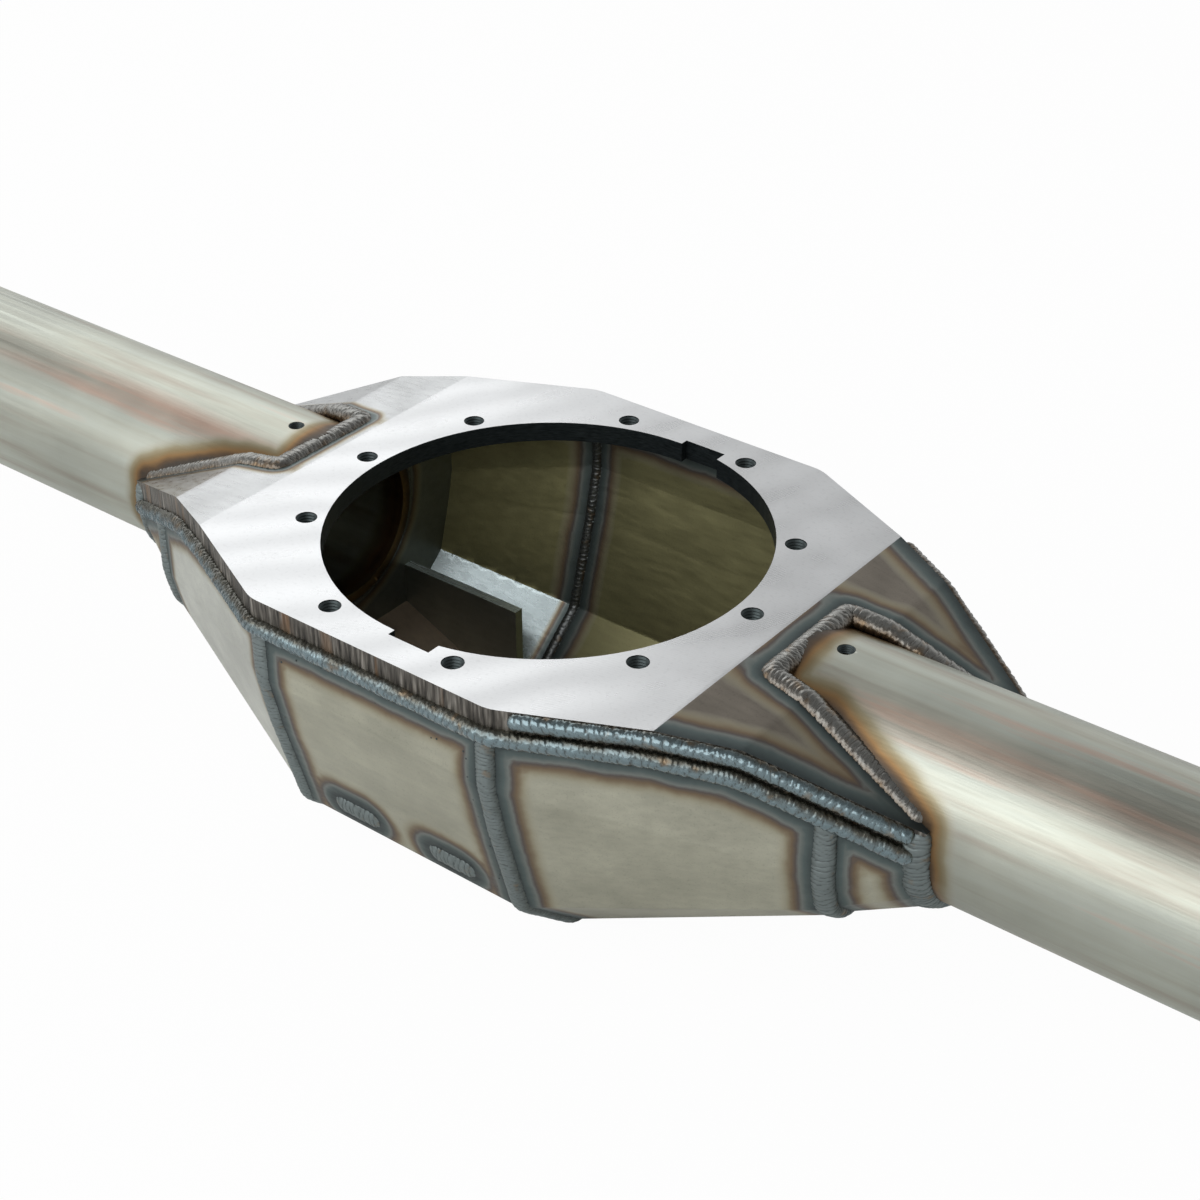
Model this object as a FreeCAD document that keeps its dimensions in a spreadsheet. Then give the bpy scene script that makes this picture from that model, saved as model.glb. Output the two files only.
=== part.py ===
import FreeCAD, Part
import math
import os

import Sketcher

# Fabricated axle housing. The origin is the centre of the carrier opening on the machined face,
# +X runs along the axle tubes, +Y is the far side and +Z points out of the face. Millimetres.

os.makedirs("parts", exist_ok=True)
doc = FreeCAD.newDocument("axle_housing")
Vector = FreeCAD.Vector
Rotation = FreeCAD.Rotation

ALONG = Vector(1, 0, 0)
ACROSS = Vector(0, 1, 0)
YZ = Rotation(Vector(1, 1, 1), 120)
XZ = Rotation(ALONG, 90)
SIDES = (("left", -1), ("right", 1))
FLATNESS = 0.001

# Driving sizes. Depths are measured down from the machined face.
SIZES = {
    "plate_thickness": 12.7,
    "opening_radius": 130.2,
    "relief_depth": 5.0,
    "relief_start": -0.5,
    "relief_width": 28.5,
    "bolt_circle_radius": 141.3,
    "bolt_hole_radius": 6.35,
    "bolt_angle_first": 31.8,
    "bolt_angle_second": 71.8,
    "face_half_flat": 85.0,
    "seam_place": 81.0,
    "face_half_width": 154.9,
    "face_corner_radius": 25.0,
    "pad_half_length": 162.8,
    "wing_bend": 203.5,
    "wing_angle_inner": 7.0,
    "wing_angle_outer": 23.3,
    "tip_half_length": 288.7,
    "tip_half_width": 58.8,
    "slot_start": 177.0,
    "slot_half_width": 40.0,
    "tube_radius": 57.15,
    "tube_wall": 6.35,
    "tube_depth": 55.4,
    "tube_inner_end": 162.0,
    "tube_outer_end": 700.0,
    "tube_bevel": 3.0,
    "cope_gap": 2.0,
    "breather_place": 201.0,
    "breather_radius": 5.0,
    "shell_thickness": 6.35,
    "fold_depth": 52.0,
    "knee_depth": 87.0,
    "knee_inset": 7.5,
    "haunch_depth": 151.0,
    "haunch_inset": 25.5,
    "shell_depth": 191.0,
    "bottom_half_width": 84.0,
    "shell_setback": 46.7,
    "end_fold_depth": 80.0,
    "end_knee_depth": 90.0,
    "end_haunch_depth": 105.0,
    "filler_setback": 4.7,
    "filler_recess": 1.5,
    "filler_stand_off": 3.5,
    "bulkhead_place": 170.0,
    "bulkhead_thickness": 6.35,
    "gusset_thickness": 6.35,
    "gusset_offset": 60.0,
    "gusset_top_depth": 116.0,
    "gusset_start": 75.0,
    "root_bead_radius": 6.3,
    "root_bead_drop": 4.4,
    "edge_bead_radius": 5.2,
    "edge_bead_stand_off": 1.0,
    "edge_bead_start_near": 95.0,
    "edge_bead_start_far": 165.0,
    "seam_bead_radius": 5.5,
    "seam_bead_height": 2.8,
    "notch_bead_radius": 6.5,
    "notch_bead_drop": 2.0,
    "end_bead_radius": 5.5,
    "end_bead_stand_off": 2.75,
    "ring_bead_leg": 7.0,
    "slot_weld_length": 30.0,
    "slot_weld_radius": 6.0,
    "slot_weld_depth": 139.0,
    "slot_weld_spacing": 72.0,
}

# Places worked out from the driving sizes.
DERIVED = {
    "edge_taper": "(sizes.face_half_width - sizes.tip_half_width)"
                  " / (sizes.tip_half_length - sizes.face_half_flat)",
    "bend_depth": "(sizes.wing_bend - sizes.pad_half_length) * tan(sizes.wing_angle_inner)",
    "tip_depth": "bend_depth + (sizes.tip_half_length - sizes.wing_bend) * tan(sizes.wing_angle_outer)",
    "mitre_angle": "(sizes.wing_angle_inner + sizes.wing_angle_outer) / 2",
    "mitre_reach": "sizes.plate_thickness / cos((sizes.wing_angle_outer - sizes.wing_angle_inner) / 2)",
    "under_pad": "sizes.pad_half_length - sizes.plate_thickness * tan(sizes.wing_angle_inner / 2)",
    "under_bend": "sizes.wing_bend - mitre_reach * sin(mitre_angle)",
    "under_bend_depth": "bend_depth + mitre_reach * cos(mitre_angle)",
    "under_tip": "sizes.tip_half_length - sizes.plate_thickness * sin(sizes.wing_angle_outer)",
    "under_tip_depth": "tip_depth + sizes.plate_thickness * cos(sizes.wing_angle_outer)",
    "beyond_tip": "sizes.tip_half_length + sizes.plate_thickness",
    "beyond_depth": "under_bend_depth + (beyond_tip - under_bend) * tan(sizes.wing_angle_outer)",
    "cope_end": "sizes.slot_start + sizes.cope_gap",
    "cope_depth": "sizes.plate_thickness + (cope_end - under_pad) * tan(sizes.wing_angle_inner)",
    "above": "sizes.shell_depth / 2",
    "shell_end": "sizes.tip_half_length - sizes.shell_setback",
    "filler_end": "sizes.tip_half_length - sizes.filler_setback",
    "knee_y": "sizes.face_half_width - sizes.knee_inset",
    "haunch_y": "sizes.face_half_width - sizes.haunch_inset",
    "end_wall_y": "sizes.face_half_width - edge_taper * (shell_end - sizes.face_half_flat)",
    "shell_taper": "(sizes.face_half_width - end_wall_y) / (shell_end - sizes.seam_place)",
    "skin": "sizes.shell_thickness * sqrt(1 + shell_taper ^ 2)",
    "end_knee_y": "end_wall_y - sizes.knee_inset * (sizes.end_knee_depth - sizes.end_fold_depth)"
                  " / (sizes.knee_depth - sizes.fold_depth)",
    "end_haunch_y": "end_knee_y - (knee_y - haunch_y) * (sizes.end_haunch_depth - sizes.end_knee_depth)"
                    " / (sizes.haunch_depth - sizes.knee_depth)",
    "end_depth": "sizes.tube_depth + sizes.tube_radius + skin",
    "end_bottom_y": "end_haunch_y - (haunch_y - sizes.bottom_half_width)"
                    " * (end_depth - sizes.end_haunch_depth) / (sizes.shell_depth - sizes.haunch_depth)",
    "collar_radius": "sizes.tube_radius + sizes.filler_stand_off",
}


def fill_sheet(name, cells):
    """A sheet with one named cell on each row."""
    sheet = doc.addObject("Spreadsheet::Sheet", name)
    for row, (alias, content) in enumerate(cells.items(), start=1):
        sheet.set(f"A{row}", alias)
        sheet.set(f"B{row}", content)
        sheet.setAlias(f"B{row}", alias)
    return sheet


sizes = fill_sheet("sizes", {alias: str(number) for alias, number in SIZES.items()})
derived = fill_sheet("derived", {alias: "=" + formula for alias, formula in DERIVED.items()})
doc.recompute()


def size(alias):
    """The number in a named cell of either sheet."""
    return float((sizes if alias in SIZES else derived).get(alias))


def bind(feature, **formulas):
    """Tie properties of a feature to the sheets and return the feature."""
    for name, formula in formulas.items():
        feature.setExpression(name.replace("__", "."), formula)
    return feature


def add(kind, name, **properties):
    """A new feature of the document with the given properties."""
    feature = doc.addObject(kind, name)
    for key, value in properties.items():
        setattr(feature, key, value)
    return feature


def draw_outline(sketch, corners):
    """A closed outline whose corners are pairs of formulas."""
    first = sketch.GeometryCount
    count = len(corners)
    turns = [2 * math.pi * i / count for i in range(count + 1)]
    rough = [Vector(math.cos(turn), math.sin(turn), 0) * size("opening_radius") for turn in turns]
    for start, end in zip(rough, rough[1:]):
        sketch.addGeometry(Part.LineSegment(start, end))
    for i, corner in enumerate(corners):
        following = first + (i + 1) % count
        sketch.addConstraint(Sketcher.Constraint("Coincident", first + i, 2, following, 1))
        pin_point(sketch, first + i, 1, corner)
    return sketch


def draw_circle(sketch, centre, radius):
    """A circle whose centre and radius are formulas."""
    rough = size("opening_radius")
    circle = sketch.addGeometry(Part.Circle(Vector(0, 0, 0), Vector(0, 0, 1), rough))
    index = sketch.addConstraint(Sketcher.Constraint("Radius", circle, rough))
    sketch.setExpression(f"Constraints[{index}]", radius)
    pin_point(sketch, circle, 3, centre)
    return sketch


def pin_point(sketch, geometry, point, place):
    """Hold one point of a sketch at a pair of formulas."""
    for kind, formula in zip(("DistanceX", "DistanceY"), place):
        index = sketch.addConstraint(Sketcher.Constraint(kind, -1, 1, geometry, point, 1))
        sketch.setExpression(f"Constraints[{index}]", formula)


def body_sketch(body, name, plane, **offset):
    """A sketch on one of the body's own origin planes."""
    sketch = body.newObject("Sketcher::SketchObject", name)
    support = next(item for item in body.Origin.OriginFeatures if item.Role == plane)
    sketch.AttachmentSupport = [(support, "")]
    sketch.MapMode = "FlatFace"
    return bind(sketch, **offset)


def plain_sketch(name, rotation, **place):
    """A sketch that stands by itself in the frame."""
    sketch = doc.addObject("Sketcher::SketchObject", name)
    sketch.Placement = FreeCAD.Placement(Vector(0, 0, 0), rotation)
    return bind(sketch, **place)


def mirrored_pair(points):
    """The points of a right-hand half outline, then the same points on the left in turn."""
    return points + [(f"-({x})", y) for x, y in reversed(points)]


def cut_through(body, name, sketch):
    """A pocket through everything on both sides of its sketch."""
    pocket = body.newObject("PartDesign::Pocket", name)
    pocket.Profile = sketch
    pocket.Type = "ThroughAll"
    pocket.SideType = "Symmetric"
    return pocket


WING_TOP = [("sizes.pad_half_length", "0"), ("sizes.wing_bend", "-derived.bend_depth"),
            ("sizes.tip_half_length", "-derived.tip_depth")]
WING_UNDER = [("derived.under_pad", "-sizes.plate_thickness"),
              ("derived.under_bend", "-derived.under_bend_depth"),
              ("derived.under_tip", "-derived.under_tip_depth")]


def make_face_plate():
    """The thick face plate: a strip pressed down at both ends, cut to its outline and pierced."""
    body = doc.addObject("PartDesign::Body", "face_plate")
    side = body_sketch(body, "plate_side", "XZ_Plane")
    draw_outline(side, mirrored_pair(WING_TOP + WING_UNDER[::-1]))
    pad = body.newObject("PartDesign::Pad", "plate_strip")
    pad.Profile = side
    pad.SideType = "Symmetric"
    bind(pad, Length="2 * (sizes.face_half_width + sizes.plate_thickness)")

    trim = body_sketch(body, "plate_trim", "XY_Plane")
    frame_x = "sizes.tip_half_length + 2 * sizes.plate_thickness"
    frame_y = "sizes.face_half_width + 2 * sizes.plate_thickness"
    draw_outline(trim, [(f"{x}({frame_x})", f"{y}({frame_y})") for x, y in
                        (("-", "-"), ("", "-"), ("", ""), ("-", ""))])
    draw_outline(trim, mirrored_pair([
        ("sizes.face_half_flat", "-sizes.face_half_width"),
        ("sizes.tip_half_length", "-sizes.tip_half_width"),
        ("sizes.tip_half_length", "sizes.tip_half_width"),
        ("sizes.face_half_flat", "sizes.face_half_width")]))
    cut_through(body, "plate_outline", trim)

    opening = draw_circle(body_sketch(body, "opening", "XY_Plane"), ("0", "0"), "sizes.opening_radius")
    cut_through(body, "carrier_opening", opening)

    relief = body_sketch(body, "relief", "XY_Plane")
    reach = "sizes.opening_radius + sizes.relief_depth"
    start, end = "sizes.relief_start", "sizes.relief_start + sizes.relief_width"
    draw_outline(relief, [(start, f"-({reach})"), (end, f"-({reach})"), (end, reach), (start, reach)])
    cut_through(body, "relief_notches", relief)

    holes = body_sketch(body, "bolt_holes", "XY_Plane")
    quarter = ("sizes.bolt_angle_first", "sizes.bolt_angle_second")
    angles = ["0", "180"] + [form.format(angle) for angle in quarter
                             for form in ("{}", "-{}", "180 - {}", "180 + {}")]
    for angle in angles:
        centre = [f"sizes.bolt_circle_radius * {turn}({angle})" for turn in ("cos", "sin")]
        draw_circle(holes, centre, "sizes.bolt_hole_radius")
    cut_through(body, "tapped_holes", holes)

    slots = body_sketch(body, "tube_slots", "XY_Plane")
    for sign in ("", "-"):
        draw_outline(slots, [(f"{sign}sizes.slot_start", "-sizes.slot_half_width"),
                             (f"{sign}derived.beyond_tip", "-sizes.tube_radius"),
                             (f"{sign}derived.beyond_tip", "sizes.tube_radius"),
                             (f"{sign}sizes.slot_start", "sizes.slot_half_width")])
    cut_through(body, "tube_slots_cut", slots)

    for side_name, sign in SIDES:
        passage = body_sketch(body, f"{side_name}_passage", "YZ_Plane",
                              AttachmentOffset__Base__z=f"{sign} * sizes.slot_start")
        draw_circle(passage, ("0", "-sizes.tube_depth"), "sizes.tube_radius")
        pocket = body.newObject("PartDesign::Pocket", f"{side_name}_tube_passage")
        pocket.Profile = passage
        pocket.Reversed = sign > 0
        bind(pocket, Length="sizes.tip_half_length")
    doc.recompute()

    pierced = body.Tip
    corners = [f"Edge{i}" for i, edge in enumerate(pierced.Shape.Edges, start=1) if at_face_corner(edge)]
    rounding = body.newObject("PartDesign::Fillet", "face_corners")
    rounding.Base = (pierced, corners)
    bind(rounding, Radius="sizes.face_corner_radius")
    body.Tip = rounding
    return body


def at_face_corner(edge):
    """Whether an edge stands upright at one of the outline's four blunt corners."""
    corner = (size("face_half_flat"), size("face_half_width"))
    return (edge.BoundBox.XLength < 0.01
            and all(math.dist((abs(end.X), abs(end.Y)), corner) < 0.01 for end in edge.Vertexes))


def make_tube(name, sign):
    """An axle tube, coped to clear the face plate, with a breather hole and a bevelled outer end."""
    body = doc.addObject("PartDesign::Body", f"{name}_tube")
    ring = body_sketch(body, f"{name}_tube_ring", "YZ_Plane",
                       AttachmentOffset__Base__z=f"{sign} * sizes.tube_inner_end")
    draw_circle(ring, ("0", "-sizes.tube_depth"), "sizes.tube_radius")
    draw_circle(ring, ("0", "-sizes.tube_depth"), "sizes.tube_radius - sizes.tube_wall")
    pad = body.newObject("PartDesign::Pad", f"{name}_tube_run")
    pad.Profile = ring
    pad.Reversed = sign < 0
    bind(pad, Length="sizes.tube_outer_end - sizes.tube_inner_end")

    cope = body_sketch(body, f"{name}_tube_cope", "XZ_Plane")
    start = f"{sign} * (sizes.tube_inner_end - sizes.tube_wall)"
    draw_outline(cope, [(start, "-sizes.plate_thickness"),
                        (f"{sign} * derived.under_pad", "-sizes.plate_thickness"),
                        (f"{sign} * derived.cope_end", "-derived.cope_depth"),
                        (f"{sign} * derived.cope_end", "derived.above"), (start, "derived.above")])
    cut_through(body, f"{name}_tube_coped", cope)

    breather = body_sketch(body, f"{name}_breather", "XY_Plane",
                           AttachmentOffset__Base__z="sizes.tube_radius - sizes.tube_depth")
    draw_circle(breather, (f"{sign} * sizes.breather_place", "0"), "sizes.breather_radius")
    drilled = body.newObject("PartDesign::Pocket", f"{name}_breather_hole")
    drilled.Profile = breather
    drilled.SideType = "Symmetric"
    bind(drilled, Length="4 * sizes.tube_wall")
    doc.recompute()

    outer_rim = [f"Edge{i}" for i, edge in enumerate(drilled.Shape.Edges, start=1)
                 if abs(edge.BoundBox.XMin - sign * size("tube_outer_end")) < 0.01
                 and edge.BoundBox.YLength > 2 * size("tube_radius") - 1 and edge.isClosed()]
    bevel = body.newObject("PartDesign::Chamfer", f"{name}_tube_end")
    bevel.Base = (drilled, outer_rim)
    bind(bevel, Size="sizes.tube_bevel")
    body.Tip = bevel
    return body


def section(name, place, half):
    """An upright section across the housing at a place along it, from its right-hand half."""
    return draw_outline(plain_sketch(name, YZ, Placement__Base__x=place), mirrored_pair(half))


def inset(name, source, distance):
    """A section moved inwards all round by a distance."""
    return bind(add("Part::Offset2D", name, Source=source, Join=2), Value=f"-({distance})")


def extrude(name, profile, direction, length, symmetric=False):
    """A solid drawn out of a flat profile."""
    solid = add("Part::Extrusion", name, Base=profile, DirMode="Custom", Dir=direction, Solid=True,
                Symmetric=symmetric)
    return bind(solid, LengthFwd=length)


def loft(name, first, last):
    """A solid with flat facets between two sections, each facet that would twist folded in two."""
    ruled = add("Part::Loft", f"{name}_ruled", Sections=[first, last], Solid=True, Ruled=True)
    doc.recompute()
    facets = []
    for face in ruled.Shape.Faces:
        corners = [vertex.Point for vertex in face.OuterWire.OrderedVertexes]
        facets += [Part.Face(Part.makePolygon(loop + loop[:1])) for loop in flat_loops(corners)]
    return add("Part::Feature", name, Shape=Part.makeSolid(Part.makeShell(facets)))


def flat_loops(corners):
    """The corners as one loop, or as two triangles where four of them don't lie in a plane."""
    if len(corners) != 4:
        return [corners]
    a, b, c, d = corners
    normal = (c - a).cross(d - b).normalize()
    if abs(normal.dot(b - a)) < FLATNESS:
        return [corners]
    if a.distanceToPoint(c) < b.distanceToPoint(d):
        return [[a, b, c], [a, c, d]]
    return [[b, c, d], [b, d, a]]


def fuse(name, shapes):
    """Several features joined, or the only one."""
    return shapes[0] if len(shapes) == 1 else add("Part::MultiFuse", name, Shapes=shapes)


def cut(name, base, *tools):
    """A feature less others."""
    return add("Part::Cut", name, Base=base, Tool=fuse(f"{name}_tools", list(tools)))


def common(name, base, tool):
    """What two features share."""
    return add("Part::MultiCommon", name, Shapes=[base, tool])


def mirror(name, source, normal):
    """A feature mirrored in a plane through the origin."""
    return add("Part::Mirroring", name, Source=source, Normal=normal)


def tube_bar(name, start, radius):
    """A solid round bar on the right-hand tube's axis."""
    bar = add("Part::Cylinder", name)
    bar.Placement = FreeCAD.Placement(Vector(0, 0, 0), Rotation(ACROSS, 90))
    return bind(bar, Radius=radius, Height=f"sizes.tube_outer_end - {start}",
                Placement__Base__x=start, Placement__Base__z="-sizes.tube_depth")


face_plate = make_face_plate()
tubes = {name: make_tube(name, sign) for name, sign in SIDES}

# Everything above the underside of the face plate and its wings, to trim what is welded below it.
above_plate = extrude("above_plate", draw_outline(plain_sketch("above_plate_side", XZ), mirrored_pair([
    ("derived.beyond_tip", "2 * derived.above"), ("derived.beyond_tip", "-derived.beyond_depth"),
    ("derived.under_bend", "-derived.under_bend_depth"), ("derived.under_pad", "-sizes.plate_thickness")])),
    ACROSS, "3 * sizes.face_half_width", symmetric=True)

# Outer and inner hulls of the shells: a straight middle and a tapered end.
seam_section = section("seam_section", "sizes.seam_place", [
    ("sizes.face_half_width", "0"), ("sizes.face_half_width", "-sizes.fold_depth"),
    ("derived.knee_y", "-sizes.knee_depth"), ("derived.haunch_y", "-sizes.haunch_depth"),
    ("sizes.bottom_half_width", "-sizes.shell_depth")])
end_section = section("end_section", "derived.shell_end", [
    ("derived.end_wall_y", "0"), ("derived.end_wall_y", "-sizes.end_fold_depth"),
    ("derived.end_knee_y", "-sizes.end_knee_depth"), ("derived.end_haunch_y", "-sizes.end_haunch_depth"),
    ("derived.end_bottom_y", "-derived.end_depth")])
middle_outer = extrude("middle_outer", seam_section, -ALONG, "2 * sizes.seam_place")
middle_inner = extrude("middle_inner", inset("middle_inner_section", seam_section, "sizes.shell_thickness"),
                       -ALONG, "2 * sizes.seam_place")
taper_outer = loft("taper_outer", seam_section, end_section)
taper_inner = loft("taper_inner", inset("seam_inner_section", seam_section, "derived.skin"),
                   inset("end_inner_section", end_section, "derived.skin"))
inside = fuse("inside", [middle_inner, taper_inner])

tube_solid = tube_bar("tube_solid", "sizes.tube_inner_end", "sizes.tube_radius")
tube_core = tube_bar("tube_core", "derived.cope_end", "sizes.tube_radius - sizes.tube_wall / 2")

# Closing plates between the shell's end and the tube, bent from the end section to a collar.
filler_section = inset("filler_section", end_section, "sizes.filler_recess")
collar_corner = "derived.collar_radius / cos(11.25)"
collar_section = section("collar_section", "derived.filler_end", [("derived.collar_radius", "0")] + [
    (f"{collar_corner} * cos({angle})", f"-sizes.tube_depth - {collar_corner} * sin({angle})")
    for angle in (11.25, 33.75, 56.25, 78.75)])
nose_outer = loft("nose_outer", filler_section, collar_section)
nose_inner = loft("nose_inner", inset("filler_inner_section", filler_section, "sizes.shell_thickness"),
                  inset("collar_inner_section", collar_section, "sizes.shell_thickness"))
nose = cut("nose", nose_outer, nose_inner, above_plate, tube_solid)


def box(name, **formulas):
    """A block whose size and place are bound to the sheets."""
    return bind(add("Part::Box", name), **formulas)


far_half = box("far_half", Length="sizes.tube_outer_end", Width="2 * sizes.face_half_width",
               Height="4 * sizes.shell_depth", Placement__Base__z="-2 * sizes.shell_depth")
slab = box("bulkhead_slab", Length="sizes.bulkhead_thickness", Width="2 * sizes.face_half_width",
           Height="sizes.shell_depth", Placement__Base__x="sizes.bulkhead_place",
           Placement__Base__y="-sizes.face_half_width", Placement__Base__z="-sizes.shell_depth")
fin = box("gusset_fin", Length="sizes.bulkhead_place - sizes.gusset_start", Width="sizes.gusset_thickness",
          Height="sizes.shell_depth - sizes.gusset_top_depth", Placement__Base__x="sizes.gusset_start",
          Placement__Base__y="sizes.gusset_offset - sizes.gusset_thickness / 2",
          Placement__Base__z="-sizes.shell_depth")

# Slots cut through the middle strip's near wall just above its lower fold, which the slot welds fill.
wall_drop = size("haunch_depth") - size("knee_depth")
wall_lean = size("knee_y") - size("haunch_y")
slot_weld_y = -size("haunch_y") - wall_lean / wall_drop * (size("haunch_depth") - size("slot_weld_depth"))
slot_normal = Vector(0, -wall_drop, -wall_lean).normalize()


def slot_prism(place):
    """A round-ended slot through the haunch, centred at a place along it."""
    radius = size("slot_weld_radius")
    half = size("slot_weld_length") / 2 - radius
    depth = 4 * size("shell_thickness")
    centre = Vector(place, slot_weld_y, -size("slot_weld_depth")) - slot_normal * depth / 2
    ends = [Part.makeCylinder(radius, depth, centre + ALONG * offset, slot_normal)
            for offset in (-half, half)]
    sideways = slot_normal.cross(ALONG) * radius
    corners = [centre + ALONG * along * half + sideways * over
               for along, over in ((-1, -1), (1, -1), (1, 1), (-1, 1), (-1, -1))]
    middle = Part.Face(Part.makePolygon(corners)).extrude(slot_normal * depth)
    return middle.fuse(ends).removeSplitter()


slot_places = [-size("slot_weld_spacing") / 2, size("slot_weld_spacing") / 2]
slots = add("Part::Feature", "slots", Shape=Part.makeCompound([slot_prism(place) for place in slot_places]))

middle_strip = cut("middle_strip", middle_outer, middle_inner, above_plate)


def top_depth(place):
    """Depth of the face plate's top surface at a distance from the middle."""
    if place <= size("pad_half_length"):
        return 0.0
    if place <= size("wing_bend"):
        return (place - size("pad_half_length")) * math.tan(math.radians(size("wing_angle_inner")))
    slope = math.tan(math.radians(size("wing_angle_outer")))
    return size("bend_depth") + (place - size("wing_bend")) * slope


def under_depth(place):
    """Depth of the face plate's underside at a distance from the middle."""
    if place <= size("under_pad"):
        return size("plate_thickness")
    if place <= size("under_bend"):
        slope = math.tan(math.radians(size("wing_angle_inner")))
        return size("plate_thickness") + (place - size("under_pad")) * slope
    slope = math.tan(math.radians(size("wing_angle_outer")))
    return size("under_bend_depth") + (place - size("under_bend")) * slope


def edge_line(place):
    """Distance from the long axis to the face plate's edge."""
    return size("face_half_width") - size("edge_taper") * max(0.0, place - size("face_half_flat"))


def weld_bar(path, radius, sides=12):
    """A many-sided bar along straight runs, mitred where they turn."""
    steps = [(end - start).normalize() for start, end in zip(path, path[1:])]
    sideways = steps[0].cross(Vector(0, 0, 1) if abs(steps[0].z) < 0.9 else ACROSS).normalize()
    upward = sideways.cross(steps[0])
    turns = [2 * math.pi * (i + 0.5) / sides for i in range(sides)]
    loops = [[path[0] + (sideways * math.cos(turn) + upward * math.sin(turn)) * radius for turn in turns]]
    for i, step in enumerate(steps):
        mitre = step + steps[min(i + 1, len(steps) - 1)]
        loops.append([corner + step * ((path[i + 1] - corner).dot(mitre) / step.dot(mitre))
                      for corner in loops[-1]])
    faces = [Part.Face(Part.makePolygon(loop + loop[:1])) for loop in (loops[0], loops[-1])]
    for lower, upper in zip(loops, loops[1:]):
        for i in range(sides):
            after = (i + 1) % sides
            ring = [lower[i], lower[after], upper[after], upper[i], lower[i]]
            faces.append(Part.Face(Part.makePolygon(ring)))
    return Part.makeSolid(Part.makeShell(faces))


def weld(name, path, radius):
    """A run of weld before it is trimmed to the plates that it joins."""
    return add("Part::Feature", name, Shape=weld_bar(path, radius))


def shifted_line(corners, distance):
    """A flat line of straight runs moved to its left by a distance, with its bends kept sharp."""
    steps = [(x1 - x0, y1 - y0) for (x0, y0), (x1, y1) in zip(corners, corners[1:])]
    normals = [(-dy / math.hypot(dx, dy), dx / math.hypot(dx, dy)) for dx, dy in steps]
    before = [normals[0]] + normals
    after = normals + [normals[-1]]
    moved = []
    for (x, y), (ax, ay), (bx, by) in zip(corners, before, after):
        reach = distance / (1 + ax * bx + ay * by)
        moved.append((x + reach * (ax + bx), y + reach * (ay + by)))
    return moved


def upright_path(place, line):
    """Points at one place along the housing from (across, up) pairs."""
    return [Vector(place, across, up) for across, up in line]


# Half outlines in the far half, each from the bottom centre up to the face plate.
seam_line = [(0, -size("shell_depth")), (size("bottom_half_width"), -size("shell_depth")),
             (size("haunch_y"), -size("haunch_depth")), (size("knee_y"), -size("knee_depth")),
             (size("face_half_width"), -size("fold_depth")),
             (size("face_half_width"), -size("plate_thickness") / 2)]
end_line = [(0, -size("end_depth")), (size("end_bottom_y"), -size("end_depth")),
            (size("end_haunch_y"), -size("end_haunch_depth")), (size("end_knee_y"), -size("end_knee_depth")),
            (size("end_wall_y"), -size("end_fold_depth")),
            (size("end_wall_y"), size("plate_thickness") / 2 - under_depth(size("shell_end")))]

# Root weld between the face plate's underside and the walls, along the far side.
root_places = [0.0, size("face_half_flat"), size("under_pad"), size("under_bend"), size("filler_end")]
root_half = [Vector(place, edge_line(place), -under_depth(place) - size("root_bead_drop"))
             for place in root_places]
root_path = [Vector(-point.x, point.y, point.z) for point in reversed(root_half[1:])] + root_half[1:]
root_bar = weld("root_bar", root_path, size("root_bead_radius"))

seam_centre = shifted_line(seam_line, size("seam_bead_radius") - size("seam_bead_height"))
seam_whole = [(-across, up) for across, up in reversed(seam_centre[1:])] + seam_centre[1:]
seam_bar = weld("seam_bar", upright_path(size("seam_place"), seam_whole), size("seam_bead_radius"))
inner_stand_off = size("seam_bead_height") - size("seam_bead_radius")
inner_centre = shifted_line(seam_line, size("shell_thickness") + inner_stand_off)
inner_whole = [(-across, up) for across, up in reversed(inner_centre[1:])] + inner_centre[1:]
inner_bar = weld("inner_bar", upright_path(size("seam_place"), inner_whole), size("seam_bead_radius"))
end_centre = shifted_line(end_line, size("end_bead_stand_off"))
end_bar = weld("end_bar", upright_path(size("shell_end"), end_centre), size("end_bead_radius"))

collar_turns = [math.radians(angle) for angle in (90, 67.5, 45, 22.5, 0)]
collar_reach = size("tube_radius") + size("filler_stand_off") / 2
collar_line = [(collar_reach * math.cos(turn), -size("tube_depth") - collar_reach * math.sin(turn))
               for turn in collar_turns]
collar_bar = weld("collar_bar", upright_path(size("filler_end"), collar_line), size("end_bead_radius"))

notch_places = [size("filler_end"), size("wing_bend"), size("cope_end")]
slot_flare = (size("tube_radius") - size("slot_half_width")) / (size("beyond_tip") - size("slot_start"))


def notch_point(place):
    """A point in the groove between the slot's far edge and the tube."""
    slot_edge = size("slot_half_width") + slot_flare * (place - size("slot_start"))
    return Vector(place, slot_edge - size("notch_bead_radius") / 2,
                  -top_depth(place) - size("notch_bead_drop"))


notch_half = [notch_point(place) for place in notch_places]
notch_path = notch_half + [Vector(point.x, -point.y, point.z) for point in reversed(notch_half)]
notch_bar = weld("notch_bar", notch_path, size("notch_bead_radius"))


def edge_bar(name, start):
    """The second weld along the far top edge of the face plate, from a place out to the tip."""
    places = [start] + [size(bend) for bend in ("pad_half_length", "wing_bend") if size(bend) > start]
    places.append(size("tip_half_length") - size("edge_bead_radius"))
    path = [Vector(place, edge_line(place) + size("edge_bead_stand_off"),
                   -top_depth(place) - size("edge_bead_radius")) for place in places]
    return weld(name, path, size("edge_bead_radius"))


ring_cone = add("Part::Cone", "ring_cone")
ring_cone.Placement = FreeCAD.Placement(Vector(0, 0, 0), Rotation(ACROSS, -90))
bind(ring_cone, Radius1="sizes.tube_radius + sizes.ring_bead_leg", Radius2="sizes.tube_radius",
     Height="sizes.ring_bead_leg", Placement__Base__x="sizes.bulkhead_place",
     Placement__Base__z="-sizes.tube_depth")

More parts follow.
